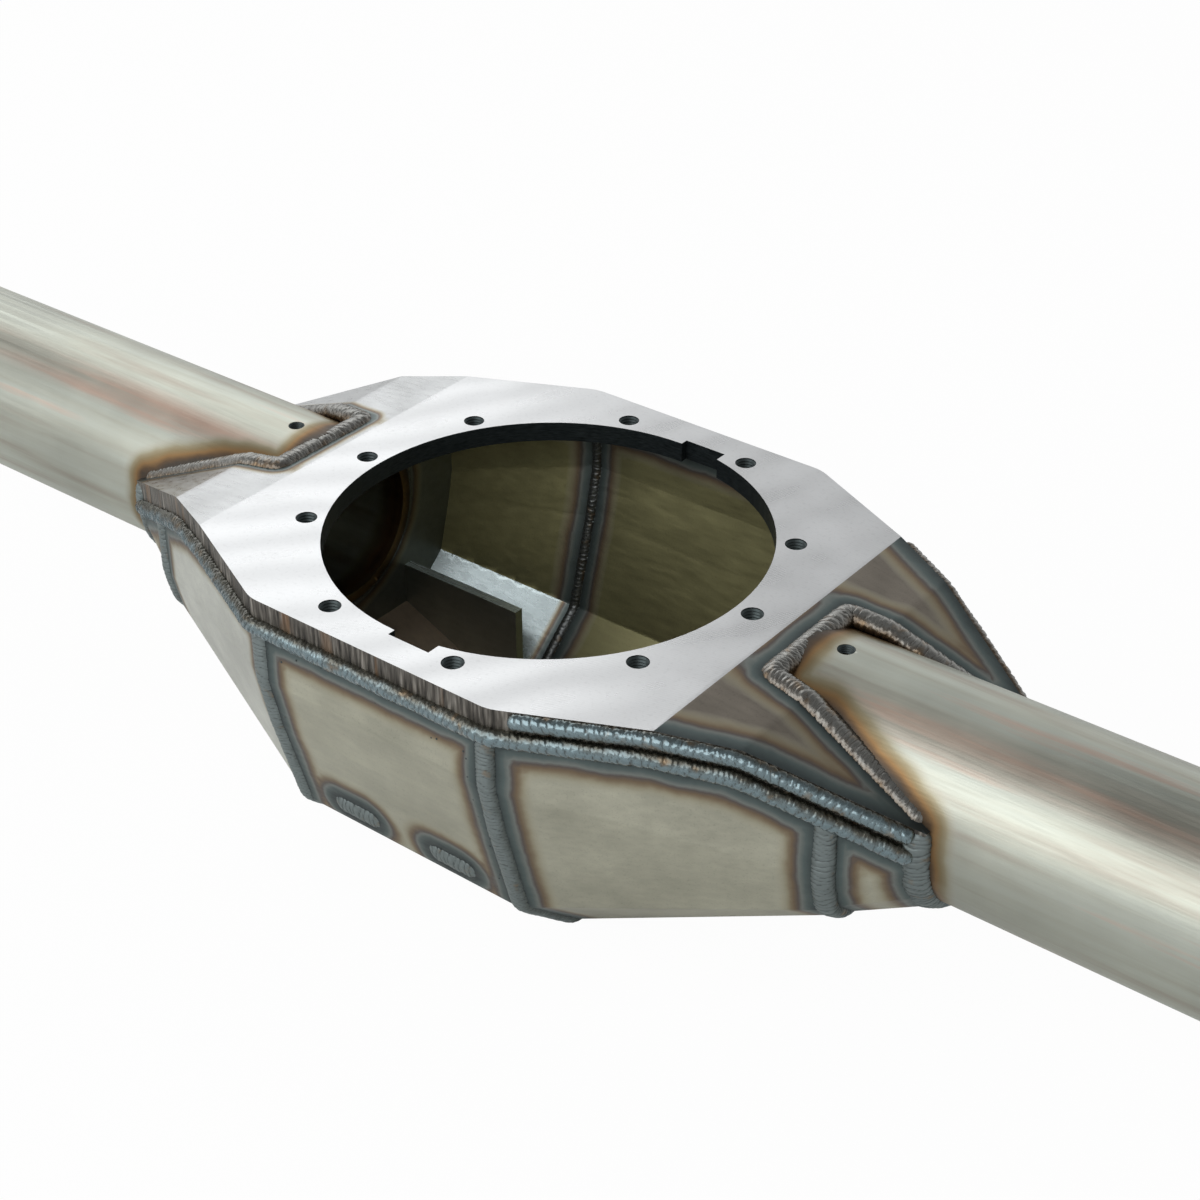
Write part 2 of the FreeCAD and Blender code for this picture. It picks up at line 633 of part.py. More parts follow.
fins = fuse("fins", [fin, mirror("fin_near", fin, ACROSS)])
joined = [taper_outer, nose_outer, tube_solid]
joined += [mirror(f"{piece.Name}_left", piece, ALONG) for piece in joined]
nodes = []


def keep(name, feature):
    """Name a finished piece and put it in the list of pieces to write."""
    feature.Label = name
    nodes.append(feature)
    return feature


def keep_pair(name, feature):
    """Keep a right-hand piece and its left-hand mirror image."""
    keep(f"right_{name}", feature)
    keep(f"left_{name}", mirror(f"left_{name}", feature, ALONG))


def keep_four(name, feature):
    """Keep a right-hand far piece and its three mirror images."""
    keep_pair(f"far_{name}", feature)
    keep_pair(f"near_{name}", mirror(f"right_near_{name}", feature, ACROSS))


keep("face_plate", face_plate)
for tube_name, sign in SIDES:
    keep(f"{tube_name}_tube", tubes[tube_name])
keep("centre_shell", cut("centre_shell", middle_strip, slots))
keep_pair("shell", cut("right_shell", taper_outer, taper_inner, above_plate))
bulkhead_blank = common("bulkhead_blank", slab, taper_inner)
keep_pair("bulkhead", cut("right_bulkhead", bulkhead_blank, above_plate, tube_solid))
keep_four("gusset", common("right_far_gusset", fin, inside))
keep_four("filler", common("right_far_filler", nose, far_half))

far_root = cut("far_root_weld", root_bar, face_plate, middle_outer, *joined)
near_root = mirror("near_root_weld", far_root, ACROSS)
far_edge = cut("far_edge_weld", edge_bar("far_edge_bar", size("edge_bead_start_far")), face_plate, far_root)
near_edge_bar = mirror("near_edge_bar", edge_bar("near_edge_source", size("edge_bead_start_near")), ACROSS)
near_edge = cut("near_edge_weld", near_edge_bar, face_plate, near_root)
for piece in (far_root, near_root, far_edge, near_edge):
    keep(piece.Name, piece)

keep_pair("seam_weld", cut("right_seam_weld", seam_bar, middle_outer, taper_outer, above_plate,
                           far_root, near_root))
inner_blank = common("inner_weld_blank", inner_bar, inside)
keep_pair("inner_weld", cut("right_inner_weld", inner_blank, above_plate, fins))
keep_pair("notch_weld", cut("right_notch_weld", notch_bar, face_plate, tubes["right"], tube_core,
                            far_edge, near_edge))
end_weld = cut("right_far_end_weld", end_bar, taper_outer, nose_outer, above_plate, far_root)
keep_four("end_weld", end_weld)
collar_half = common("collar_half", collar_bar, far_half)
keep_four("collar_weld", cut("right_far_collar_weld", collar_half, nose_outer, tube_solid, above_plate,
                             far_root, far_edge, end_weld))
keep_pair("ring_weld", cut("right_ring_weld", ring_cone, tube_solid, above_plate))
keep("slot_welds", common("slot_welds", slots, middle_strip))
doc.recompute()

failed = [item.Name for item in doc.Objects if {"Invalid", "Error"} & set(item.State)]
failed += [item.Label for item in nodes
           if item.Shape.isNull() or not item.Shape.isValid() or not item.Shape.Solids]
if failed:
    raise RuntimeError("These features failed: " + ", ".join(failed))
for item in nodes:
    item.Shape.exportStep(f"parts/{item.Label}.step")
    print(f"{item.Label:24s} {len(item.Shape.Solids)} solid(s) {item.Shape.Volume / 1000:9.2f} cm3")
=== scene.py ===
import math
import random

import bmesh
import bpy
import numpy as np
from mathutils import Matrix, Vector, noise


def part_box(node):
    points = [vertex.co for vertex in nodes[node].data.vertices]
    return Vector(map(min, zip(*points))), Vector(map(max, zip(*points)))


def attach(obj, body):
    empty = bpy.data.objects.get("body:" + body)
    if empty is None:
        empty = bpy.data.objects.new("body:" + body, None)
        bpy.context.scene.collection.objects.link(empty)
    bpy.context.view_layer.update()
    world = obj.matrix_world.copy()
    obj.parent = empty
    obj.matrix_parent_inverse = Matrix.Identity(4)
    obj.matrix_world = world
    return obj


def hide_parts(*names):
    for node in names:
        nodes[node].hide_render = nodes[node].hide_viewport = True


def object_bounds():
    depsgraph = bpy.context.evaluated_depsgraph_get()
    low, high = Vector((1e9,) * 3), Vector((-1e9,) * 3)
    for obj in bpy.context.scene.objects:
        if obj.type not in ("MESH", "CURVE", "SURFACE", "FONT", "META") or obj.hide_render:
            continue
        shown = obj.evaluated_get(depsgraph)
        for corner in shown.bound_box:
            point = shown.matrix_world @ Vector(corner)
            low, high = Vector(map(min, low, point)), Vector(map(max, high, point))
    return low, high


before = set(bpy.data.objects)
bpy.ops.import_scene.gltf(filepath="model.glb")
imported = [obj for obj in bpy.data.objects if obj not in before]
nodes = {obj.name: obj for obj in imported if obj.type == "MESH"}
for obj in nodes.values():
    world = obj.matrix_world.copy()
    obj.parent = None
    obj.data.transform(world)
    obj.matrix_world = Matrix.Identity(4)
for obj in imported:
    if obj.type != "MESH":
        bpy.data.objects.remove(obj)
cad_box = [list(corner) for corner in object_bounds()]
MM = 0.001
SIDES = (("left", -1), ("right", 1))
HALVES = (("far", 1), ("near", -1))


# The camera stands in front of the right-hand tube and looks down on the carrier opening, at the
# angle of the photograph.
CAMERA_PLACE = (0.6806, -0.8283, 0.6470)
CAMERA_AZIMUTH = 37.84
CAMERA_ELEVATION = 32.94
CAMERA_LENS = 65.53
CAMERA_SENSOR = 36.0
CAMERA_NEAR = 0.05

camera = bpy.data.objects.new("camera", bpy.data.cameras.new("camera"))
camera.data.lens = CAMERA_LENS
camera.data.sensor_width = CAMERA_SENSOR
camera.data.clip_start = CAMERA_NEAR
camera.location = CAMERA_PLACE
camera.rotation_euler = (math.radians(90 - CAMERA_ELEVATION), 0, math.radians(CAMERA_AZIMUTH))
bpy.context.scene.collection.objects.link(camera)
bpy.context.scene.camera = camera
bpy.context.scene.view_settings.view_transform = "Standard"


# The studio: a white floor at the lowest point of the two girth seams that the housing rests on, a
# pale surround that is brightest low down and on the left, and two large soft lamps.
WHITE = (1, 1, 1, 1)
PAPER = (0.86, 0.86, 0.86, 1)
FLOOR_HALF = 14.0
FLOOR_GLOW = 0.97
LOW_RISE, HIGH_RISE = 0.30, 0.85
LOW_LEVEL, HIGH_LEVEL = 1.0, 0.30
LEFT_SIDE, RIGHT_SIDE = -0.7, 0.8
LEFT_LEVEL, RIGHT_LEVEL = 1.0, 0.55
GLAZE_ROUGHNESS = 0.16
MOTTLING_LOW, MOTTLING_HIGH = 0.3, 0.7


def put(tree, kind, inputs=None, **settings):
    """A node with its settings, and with its inputs set to numbers or joined to other nodes."""
    made = tree.nodes.new(kind)
    for key, value in settings.items():
        setattr(made, key, value)
    for key, value in (inputs or {}).items():
        if isinstance(value, bpy.types.NodeSocket):
            tree.links.new(value, made.inputs[key])
        else:
            made.inputs[key].default_value = value
    return made


def calc(tree, operation, *values, clamp=False):
    """The outcome of one sum on numbers or outputs."""
    return put(tree, "ShaderNodeMath", dict(enumerate(values)), operation=operation,
               use_clamp=clamp).outputs[0]


def blend(tree, factor, first, second, mode="MIX"):
    """One colour mixed into another."""
    return put(tree, "ShaderNodeMix", {0: factor, 6: first, 7: second}, data_type="RGBA",
               blend_type=mode).outputs[2]


def stretch(tree, value, low, high, start=0.0, end=1.0):
    """A value carried from one range to another and held at its ends."""
    return put(tree, "ShaderNodeMapRange", {0: value, 1: low, 2: high, 3: start, 4: end}).outputs[0]


def ramp(tree, value, stops):
    """A colour for each value between 0 and 1, from (place, colour) stops."""
    made = put(tree, "ShaderNodeValToRGB", {0: value})
    for place, colour in stops[2:]:
        made.color_ramp.elements.new(place)
    for element, (place, colour) in zip(made.color_ramp.elements, stops):
        element.position = place
        element.color = (*colour, 1.0)
    return made.outputs[0]


def on_piece(tree):
    """The place on the piece, where a texture is looked up."""
    return put(tree, "ShaderNodeTexCoord").outputs["Object"]


def drawn_out(tree, place, scale):
    """A place squeezed along some axes, so that a texture is drawn out along them."""
    return put(tree, "ShaderNodeMapping", {"Vector": place, "Scale": scale}).outputs[0]


def cloudy(tree, place, scale, detail):
    """Random mottling, which mostly lies between MOTTLING_LOW and MOTTLING_HIGH."""
    inputs = {"Vector": place, "Scale": scale, "Detail": detail}
    return put(tree, "ShaderNodeTexNoise", inputs).outputs["Fac"]


def swing(tree, mottling, start, end):
    """Mottling carried to another range."""
    return stretch(tree, mottling, MOTTLING_LOW, MOTTLING_HIGH, start, end)


def grey(tree, level):
    """A level as a grey colour."""
    return put(tree, "ShaderNodeCombineColor", {0: level, 1: level, 2: level}).outputs[0]


def new_material(name):
    """An empty material and its node tree."""
    material = bpy.data.materials.new(name)
    material.use_nodes = True
    material.node_tree.nodes.clear()
    return material, material.node_tree


def new_group(name, inputs, outputs):
    """An empty node group with its sockets, and the outputs of what it is given."""
    group = bpy.data.node_groups.new(name, "ShaderNodeTree")
    for in_out, sockets in (("INPUT", inputs), ("OUTPUT", outputs)):
        for socket, kind in sockets.items():
            group.interface.new_socket(socket, in_out=in_out, socket_type="NodeSocket" + kind)
    return group, put(group, "NodeGroupInput").outputs


def metal_surface(tree, colour, roughness, metal, height, bump, depth, glaze=0.0):
    """The end of a material: a bumpy metal surface, its bumps' depth in millimetres, with a glaze."""
    bumps = put(tree, "ShaderNodeBump", {"Strength": bump, "Distance": depth * MM, "Height": height})
    inputs = {"Base Color": colour, "Roughness": roughness, "Metallic": metal, "Normal": bumps.outputs[0]}
    if glaze:
        inputs.update({"Coat Weight": glaze, "Coat Roughness": GLAZE_ROUGHNESS})
    surface = put(tree, "ShaderNodeBsdfPrincipled", inputs)
    put(tree, "ShaderNodeOutputMaterial", {0: surface.outputs[0]})


def mesh_piece(name, shape, *materials):
    """An object made from a bmesh."""
    mesh = bpy.data.meshes.new(name)
    shape.to_mesh(mesh)
    shape.free()
    piece = bpy.data.objects.new(name, mesh)
    for material in materials:
        mesh.materials.append(material)
    bpy.context.scene.collection.objects.link(piece)
    return piece


def smooth(shape):
    """Shade a shape's facets smoothly."""
    for face in shape.faces:
        face.smooth = True


floor_white, tree = new_material("floor_white")
path = put(tree, "ShaderNodeLightPath")
paper = put(tree, "ShaderNodeBsdfDiffuse", {"Color": PAPER})
glow = put(tree, "ShaderNodeEmission", {"Color": WHITE, "Strength": 1.0})
seen = calc(tree, "MULTIPLY", path.outputs["Is Camera Ray"], FLOOR_GLOW)
floor_mix = put(tree, "ShaderNodeMixShader", {0: seen, 1: paper.outputs[0], 2: glow.outputs[0]})
put(tree, "ShaderNodeOutputMaterial", {0: floor_mix.outputs[0]})

ground = bmesh.new()
bmesh.ops.create_grid(ground, x_segments=1, y_segments=1, size=FLOOR_HALF)
bmesh.ops.translate(ground, verts=ground.verts, vec=(0, 0, cad_box[0][2]))
floor = mesh_piece("floor", ground, floor_white)

world = bpy.data.worlds.new("surround")
bpy.context.scene.world = world
world.use_nodes = True
world.node_tree.nodes.clear()
tree = world.node_tree
path = put(tree, "ShaderNodeLightPath")
direction = put(tree, "ShaderNodeSeparateXYZ", {0: put(tree, "ShaderNodeTexCoord").outputs["Generated"]})
height = stretch(tree, direction.outputs["Z"], LOW_RISE, HIGH_RISE, LOW_LEVEL, HIGH_LEVEL)
leftward = stretch(tree, direction.outputs["X"], LEFT_SIDE, RIGHT_SIDE, LEFT_LEVEL, RIGHT_LEVEL)
level = calc(tree, "MULTIPLY", height, leftward)
level = calc(tree, "MAXIMUM", level, path.outputs["Is Camera Ray"])
surround = put(tree, "ShaderNodeBackground", {"Color": WHITE, "Strength": level})
put(tree, "ShaderNodeOutputWorld", {0: surround.outputs[0]})


def lamp(name, place, size, power):
    """A large soft lamp that faces the middle of the carrier opening."""
    light = bpy.data.lights.new(name, "AREA")
    light.shape = "RECTANGLE"
    light.size, light.size_y = size
    light.energy = power
    holder = bpy.data.objects.new(name, light)
    holder.location = place
    holder.rotation_euler = (-Vector(place)).to_track_quat("-Z", "Y").to_euler()
    bpy.context.scene.collection.objects.link(holder)


lamp("left_lamp", place=(-1.46, 0.88, 1.34), size=(1.45, 1.3), power=6.2)
lamp("front_lamp", place=(-0.2, -2.0, 1.5), size=(3.4, 2.0), power=32)


# The housing's own lines, in millimetres: the face plate is bent down at both ends, the shell under
# it is folded to a keel, and every weld follows one of the lines where two plates meet.
plate_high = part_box("face_plate")[1]
strip_low, strip_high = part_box("centre_shell")
tube_low, tube_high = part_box("right_tube")
TIP = plate_high.x / MM
HALF_WIDTH = plate_high.y / MM
SEAM = strip_high.x / MM
DEPTH = -strip_low.z / MM
SHELL_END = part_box("right_shell")[1].x / MM
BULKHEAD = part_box("right_bulkhead")[0].x / MM
TUBE_RADIUS = tube_high.y / MM
TUBE_DEPTH = -tube_low.z / MM - TUBE_RADIUS
FAR_AWAY = 1000.0

# The face plate: how thick it is, where its sides start to taper, where it is bent down and how
# steeply, and the notch in each tip that the tube lies in.
PLATE = 12.7
FACE_FLAT = 85.0
TIP_WIDTH = 58.8
PAD_END = 162.8
WING_BEND = 203.5
INNER_ANGLE, OUTER_ANGLE = 7.0, 23.3
INNER_SLOPE = math.tan(math.radians(INNER_ANGLE))
OUTER_SLOPE = math.tan(math.radians(OUTER_ANGLE))
MEAN_LEAN = math.radians((OUTER_ANGLE + INNER_ANGLE) / 2)
HALF_BEND = math.radians((OUTER_ANGLE - INNER_ANGLE) / 2)
UNDER_PAD = PAD_END - PLATE * math.tan(math.radians(INNER_ANGLE / 2))
UNDER_BEND = WING_BEND - PLATE / math.cos(HALF_BEND) * math.sin(MEAN_LEAN)
NOTCH_START = 177.0
NOTCH_HALF = 40.0

# The shell: its wall, the heights of its folds at the girth seams and at its ends, and how far the
# folds stand in from the walls.
WALL = 6.35
FOLD, KNEE, HAUNCH = 52.0, 87.0, 151.0
KNEE_INSET, HAUNCH_INSET, BOTTOM_Y = 7.5, 25.5, 84.0
KNEE_Y, HAUNCH_Y = HALF_WIDTH - KNEE_INSET, HALF_WIDTH - HAUNCH_INSET
END_FOLD, END_KNEE, END_HAUNCH = 80.0, 90.0, 105.0
FILLER_SETBACK = 4.7
FILLER_END = TIP - FILLER_SETBACK

# The welds: the radius of each bar of weld metal, and where it lies beside the plates' own lines.
ROOT_RADIUS, EDGE_RADIUS, SEAM_RADIUS, NOTCH_RADIUS, END_RADIUS, RING_RADIUS = 6.05, 5.1, 5.3, 6.3, 5.3, 4.0
ROOT_DROP = 4.4
EDGE_STARTS = {"far": 165, "near": 95}
EDGE_OVERHANG = 1
SEAM_SHIFT = 2.7
SEAM_CLEAR = 4
NOTCH_WELD_START = NOTCH_START + 2.0
NOTCH_DROP = 2
COLLAR_GAP = 1.75
COLLAR_TURNS = (90, 67.5, 45, 22.5, 0, -14)
RING_GAP = 2
RING_SETBACK = 2.5
RING_TURNS = range(40, 321, 10)
PLUG_PLACE, PLUG_REACH, PLUG_DEPTH, PLUG_HEAT = 36.0, 9.0, 139.0, 10.0


def top_z(place):
    """Height of the face plate's top at a place along the housing."""
    place = abs(place)
    inner = max(0.0, min(place, WING_BEND) - PAD_END) * INNER_SLOPE
    return -inner - max(0.0, place - WING_BEND) * OUTER_SLOPE


def under_z(place):
    """Height of the face plate's underside at a place along the housing."""
    place = abs(place)
    inner = max(0.0, min(place, UNDER_BEND) - UNDER_PAD) * INNER_SLOPE
    return -PLATE - inner - max(0.0, place - UNDER_BEND) * OUTER_SLOPE


def edge_y(place):
    """Distance of the face plate's edge from the long axis."""
    return HALF_WIDTH - (HALF_WIDTH - TIP_WIDTH) / (TIP - FACE_FLAT) * max(0.0, abs(place) - FACE_FLAT)


def shifted(line, distance):
    """A flat line of (across, up) points moved to its left, with its corners kept sharp."""
    steps = [(b[0] - a[0], b[1] - a[1]) for a, b in zip(line, line[1:])]
    normals = [(-up / math.hypot(over, up), over / math.hypot(over, up)) for over, up in steps]
    moved = []
    for (over, up), (ax, ay), (bx, by) in zip(line, normals[:1] + normals, normals + normals[-1:]):
        reach = distance / (1 + ax * bx + ay * by)
        moved.append((over + reach * (ax + bx), up + reach * (ay + by)))
    return moved


def both_halves(line):
    """A line from the middle of the keel up to the far side, carried round to the near side."""
    return [(-over, up) for over, up in reversed(line[1:])] + line[1:]


def upright(place, line):
    """A line of (across, up) points stood up at one place along the housing."""
    return [(place, over, up) for over, up in line]


seam_line = [(0, -DEPTH), (BOTTOM_Y, -DEPTH), (HAUNCH_Y, -HAUNCH), (KNEE_Y, -KNEE), (HALF_WIDTH, -FOLD),
             (HALF_WIDTH, -PLATE - SEAM_CLEAR)]
END_Y = edge_y(SHELL_END)
wall_taper = (HALF_WIDTH - END_Y) / (SHELL_END - SEAM)
END_DEPTH = TUBE_DEPTH + TUBE_RADIUS + WALL * math.sqrt(1 + wall_taper ** 2)
END_KNEE_Y = END_Y - (HALF_WIDTH - KNEE_Y) * (END_KNEE - END_FOLD) / (KNEE - FOLD)
END_HAUNCH_Y = END_KNEE_Y - (KNEE_Y - HAUNCH_Y) * (END_HAUNCH - END_KNEE) / (HAUNCH - KNEE)
END_BOTTOM_Y = END_HAUNCH_Y - (HAUNCH_Y - BOTTOM_Y) * (END_DEPTH - END_HAUNCH) / (DEPTH - HAUNCH)
end_line = [(0, -END_DEPTH), (END_BOTTOM_Y, -END_DEPTH), (END_HAUNCH_Y, -END_HAUNCH),
            (END_KNEE_Y, -END_KNEE), (END_Y, -END_FOLD), (END_Y, under_z(SHELL_END) - SEAM_CLEAR)]

root_run = [(place, edge_y(place), under_z(place) - ROOT_DROP) for place in
            (-FILLER_END, -UNDER_BEND, -UNDER_PAD, -FACE_FLAT, FACE_FLAT, UNDER_PAD, UNDER_BEND, FILLER_END)]
seam_run = upright(SEAM, both_halves(shifted(seam_line, SEAM_SHIFT)))
inner_run = upright(SEAM, both_halves(shifted(seam_line, WALL - SEAM_SHIFT)))
end_run = upright(SHELL_END, shifted(end_line, END_RADIUS / 2))
collar_reach = TUBE_RADIUS + COLLAR_GAP
collar_run = upright(FILLER_END, [
    (collar_reach * math.cos(math.radians(turn)), -TUBE_DEPTH - collar_reach * math.sin(math.radians(turn)))
    for turn in COLLAR_TURNS])
ring_reach = TUBE_RADIUS + RING_GAP
ring_run = upright(BULKHEAD - RING_SETBACK, [
    (ring_reach * math.sin(math.radians(turn)), -TUBE_DEPTH + ring_reach * math.cos(math.radians(turn)))
    for turn in RING_TURNS])


def edge_run(start):
    """The second weld along the far top edge, from a place out to the tip."""
    places = [start] + [bend for bend in (PAD_END, WING_BEND) if bend > start] + [TIP - EDGE_RADIUS]
    return [(place, edge_y(place) + EDGE_OVERHANG, top_z(place) - EDGE_RADIUS) for place in places]


def notch_point(place, side):
    """A point in the groove between the notch's edge and the tube."""
    flare = (TUBE_RADIUS - NOTCH_HALF) / (TIP + PLATE - NOTCH_START)
    across = side * (NOTCH_HALF + flare * (place - NOTCH_START) - NOTCH_RADIUS / 2)
    return (place, across, top_z(place) - NOTCH_DROP)


notch_run = [notch_point(place, 1) for place in (FILLER_END, WING_BEND, NOTCH_WELD_START)]
notch_run += [notch_point(place, -1) for place in (NOTCH_WELD_START, WING_BEND, FILLER_END)]


def flipped(run, along=1, over=1):
    """A run mirrored to another quarter of the housing."""
    return [(x * along, y * over, z) for x, y, z in run]


hot_runs = []
for half, over in HALVES:
    hot_runs.append((flipped(root_run, 1, over), ROOT_RADIUS))
    hot_runs.append((flipped(edge_run(EDGE_STARTS[half]), 1, over), EDGE_RADIUS))
for side, along in SIDES:
    hot_runs.append((flipped(seam_run, along), SEAM_RADIUS))
    hot_runs.append((flipped(notch_run, along), NOTCH_RADIUS))
    hot_runs.append((flipped(ring_run, along), RING_RADIUS))
    for half, over in HALVES:
        hot_runs.append((flipped(end_run, along, over), END_RADIUS))
        hot_runs.append((flipped(collar_run, along, over), END_RADIUS))

plug_lean = (KNEE_Y - HAUNCH_Y) / (HAUNCH - KNEE)
plug_y = HAUNCH_Y + plug_lean * (HAUNCH - PLUG_DEPTH)
for middle in (-PLUG_PLACE, PLUG_PLACE):
    ends = [(middle + shift, -plug_y, -PLUG_DEPTH) for shift in (-PLUG_REACH, PLUG_REACH)]
    hot_runs.append((ends, PLUG_HEAT))


def weld_distance(points):
    """Distance in millimetres from each point to the edge of the nearest weld."""
    nearest = np.full(len(points), FAR_AWAY)
    for run, radius in hot_runs:
        corners = np.array(run)
        for start, end in zip(corners, corners[1:]):
            step = end - start
            share = np.clip((points - start) @ step / (step @ step), 0, 1)
            gap = np.linalg.norm(points - start - share[:, None] * step, axis=1) - radius
            nearest = np.minimum(nearest, gap)
    return np.maximum(nearest, 0)


# The plates: each is the CAD plate with its surface divided by a fine grid, so that it can carry the
# distance to the nearest weld, which the heat colours follow.
GRID = 4.0
GRID_SHIFT = 0.1
SAME_POINT = 0.001
SHARP_ANGLE = math.radians(28)
LEVEL_Z = 0.9


def cut(shape, place, normal):
    """Divide a shape's facets along a plane."""
    bmesh.ops.bisect_plane(shape, geom=shape.verts[:] + shape.edges[:] + shape.faces[:],
                           plane_co=place, plane_no=normal)


def divided(name, axes="xyz", reach=FAR_AWAY):
    """A copy of a CAD plate cut up by a square grid, out to a reach along the housing."""
    shape = bmesh.new()
    shape.from_mesh(nodes[name].data)
    bmesh.ops.remove_doubles(shape, verts=shape.verts, dist=SAME_POINT * MM)
    low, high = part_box(name)
    for axis in ["xyz".index(letter) for letter in axes]:
        normal = [0, 0, 0]
        normal[axis] = 1
        first = math.ceil(max(low[axis] / MM, -reach) / GRID)
        last = math.floor(min(high[axis] / MM, reach) / GRID)
        for count in range(first, last + 1):
            cut(shape, [(count * GRID + GRID_SHIFT) * MM * part for part in normal], normal)
    return shape


def mark_heat(shape):
    """Store the distance to the nearest weld on every point."""
    layer = shape.verts.layers.float.new("weld")
    points = np.array([vert.co[:] for vert in shape.verts]) / MM
    for vert, gap in zip(shape.verts, weld_distance(points).tolist()):
        vert[layer] = gap


def plate_piece(name, slot, choose, *materials):
    """The visible piece for a CAD plate, with a material for each facet."""
    shape = divided(name, "xy" if name == "face_plate" else "xyz")
    mark_heat(shape)
    for face in shape.faces:
        face.material_index = choose(face.calc_center_median() / MM, face.normal)
    smooth(shape)
    piece = mesh_piece(name + "_steel", shape, *materials)
    piece.data.set_sharp_from_angle(angle=SHARP_ANGLE)
    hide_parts(name)
    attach(piece, "root")


# The bare steel: mill grain that is drawn out along the housing, and heat colours over it that
# follow the distance to the nearest weld.
GRAIN_STRETCH = (0.15, 1.0, 1.0)
HEAT_COLOURS = [
    (0.0, (0.065, 0.08, 0.082)), (0.22, (0.13, 0.165, 0.162)), (0.34, (0.23, 0.25, 0.235)),
    (0.43, (0.14, 0.12, 0.11)), (0.54, (0.22, 0.165, 0.11)), (0.70, (0.35, 0.305, 0.21)),
    (0.84, (0.44, 0.41, 0.30)), (1.0, (0.48, 0.46, 0.37))]
SMOOTHER, ROUGHER, HEAT_ROUGHER = 0.05, 0.07, 0.08


def tint_group():
    """Heat colours on bare steel: blue-grey scale, a pale line, violet, brown and straw in turn."""
    group, given = new_group("heat_tint", {"Distance": "Float", "Width": "Float", "Bare": "Color"},
                             {"Color": "Color", "Heat": "Float"})
    place = on_piece(group)
    wander = cloudy(group, place, 38.0, 3.0)
    fine = cloudy(group, place, 240.0, 4.0)
    share = calc(group, "DIVIDE", given["Distance"], given["Width"])
    share = calc(group, "ADD", share, swing(group, wander, -0.05, 0.05))
    share = calc(group, "ADD", share, swing(group, fine, -0.012, 0.012), clamp=True)
    colour = ramp(group, share, HEAT_COLOURS)
    cover = stretch(group, share, 0.62, 0.98, 1.0, 0.0)
    tinted = blend(group, cover, given["Bare"], colour)
    put(group, "NodeGroupOutput", {"Color": tinted, "Heat": stretch(group, share, 0.2, 0.7, 1.0, 0.0)})
    return group


def grain_group():
    """Mill grain: cloudy mottling, fine drawn lines along the housing, and pits."""
    group, given = new_group("mill_grain", {"Color": "Color"},
                             {"Color": "Color", "Fine": "Float", "Height": "Float"})
    place = on_piece(group)
    cloud = cloudy(group, place, 26.0, 5.0)
    lines = cloudy(group, drawn_out(group, place, GRAIN_STRETCH), 300.0, 3.0)
    pits = cloudy(group, place, 900.0, 2.0)
    shade = calc(group, "MULTIPLY", swing(group, cloud, 0.86, 1.12), swing(group, lines, 0.93, 1.06))
    shade = calc(group, "MULTIPLY", shade, stretch(group, pits, 0.3, 0.42, 0.88, 1.0))
    colour = blend(group, 1.0, given["Color"], grey(group, shade), "MULTIPLY")
    height = calc(group, "ADD", lines, calc(group, "MULTIPLY", pits, 0.6))
    put(group, "NodeGroupOutput", {"Color": colour, "Fine": lines, "Height": height})
    return group


heat_tint = tint_group()
mill_grain = grain_group()


def steel(name, bare, width, roughness, metal=0.9, bump=0.04):
    """Bare steel plate with grain, and with heat colours out to a width from the welds."""
    material, tree = new_material(name)
    gap = put(tree, "ShaderNodeAttribute", attribute_name="weld").outputs["Fac"]
    grain = put(tree, "ShaderNodeGroup", {"Color": (*bare, 1)}, node_tree=mill_grain).outputs
    tint = put(tree, "ShaderNodeGroup", {"Distance": gap, "Width": width, "Bare": grain["Color"]},
               node_tree=heat_tint).outputs
    rough = calc(tree, "ADD", swing(tree, grain["Fine"], roughness - SMOOTHER, roughness + ROUGHER),
                 calc(tree, "MULTIPLY", tint["Heat"], HEAT_ROUGHER))
    metal_surface(tree, tint["Color"], rough, metal, grain["Height"], bump, depth=1.0)
    return material


# The face plate: 12.7 mm plate whose middle is machined flat and bright after welding. Its outline
# is flame cut, and the wings beyond the machined pad keep the mill finish and the heat colours. The
# left wing's mill finish is painted light and the right wing's painted shade, as lit and shaded
# copies of one finish, and the bore's wall is painted near black as painted shade.
FACE_METAL = (0.66, 0.672, 0.68, 1)
EDGE_RUST = (0.28, 0.16, 0.08, 1)
SWEEP_CENTRE = (0.52, -0.30, 0.0)
TOP_Z = 0.999
WALL_Z = 0.5
BORED_REACH = 152.2


def cutter_rings(tree, place, scale, distortion, detail_scale):
    """The rings that a wide cutter leaves about its centre."""
    inputs = {"Vector": place, "Scale": scale, "Distortion": distortion, "Detail": 2.0,
              "Detail Scale": detail_scale}
    return put(tree, "ShaderNodeTexWave", inputs, wave_type="RINGS", rings_direction="Z").outputs["Fac"]


machined, tree = new_material("machined_face")
place = on_piece(tree)
arcs = put(tree, "ShaderNodeMapping", {"Vector": place, "Location": SWEEP_CENTRE}).outputs[0]
sweep = cutter_rings(tree, arcs, scale=210.0, distortion=1.2, detail_scale=2.0)
broad = cutter_rings(tree, arcs, scale=9.0, distortion=3.0, detail_scale=1.0)
smudge = cloudy(tree, place, 16.0, 6.0)
speck = cloudy(tree, place, 420.0, 3.0)
bright = calc(tree, "MULTIPLY", stretch(tree, smudge, 0.35, 0.7, 0.88, 1.05),
              stretch(tree, broad, 0, 1, 0.96, 1.02))
bright = calc(tree, "MULTIPLY", bright, stretch(tree, speck, 0.30, 0.45, 0.93, 1.0))
face_colour = blend(tree, 1.0, FACE_METAL, grey(tree, bright), "MULTIPLY")
worn_face = calc(tree, "ADD", smudge, calc(tree, "MULTIPLY", broad, 0.5))
face_rough = stretch(tree, worn_face, 0.5, 1.1, 0.27, 0.42)
metal_surface(tree, face_colour, face_rough, 1.0, sweep, bump=0.05, depth=0.6)

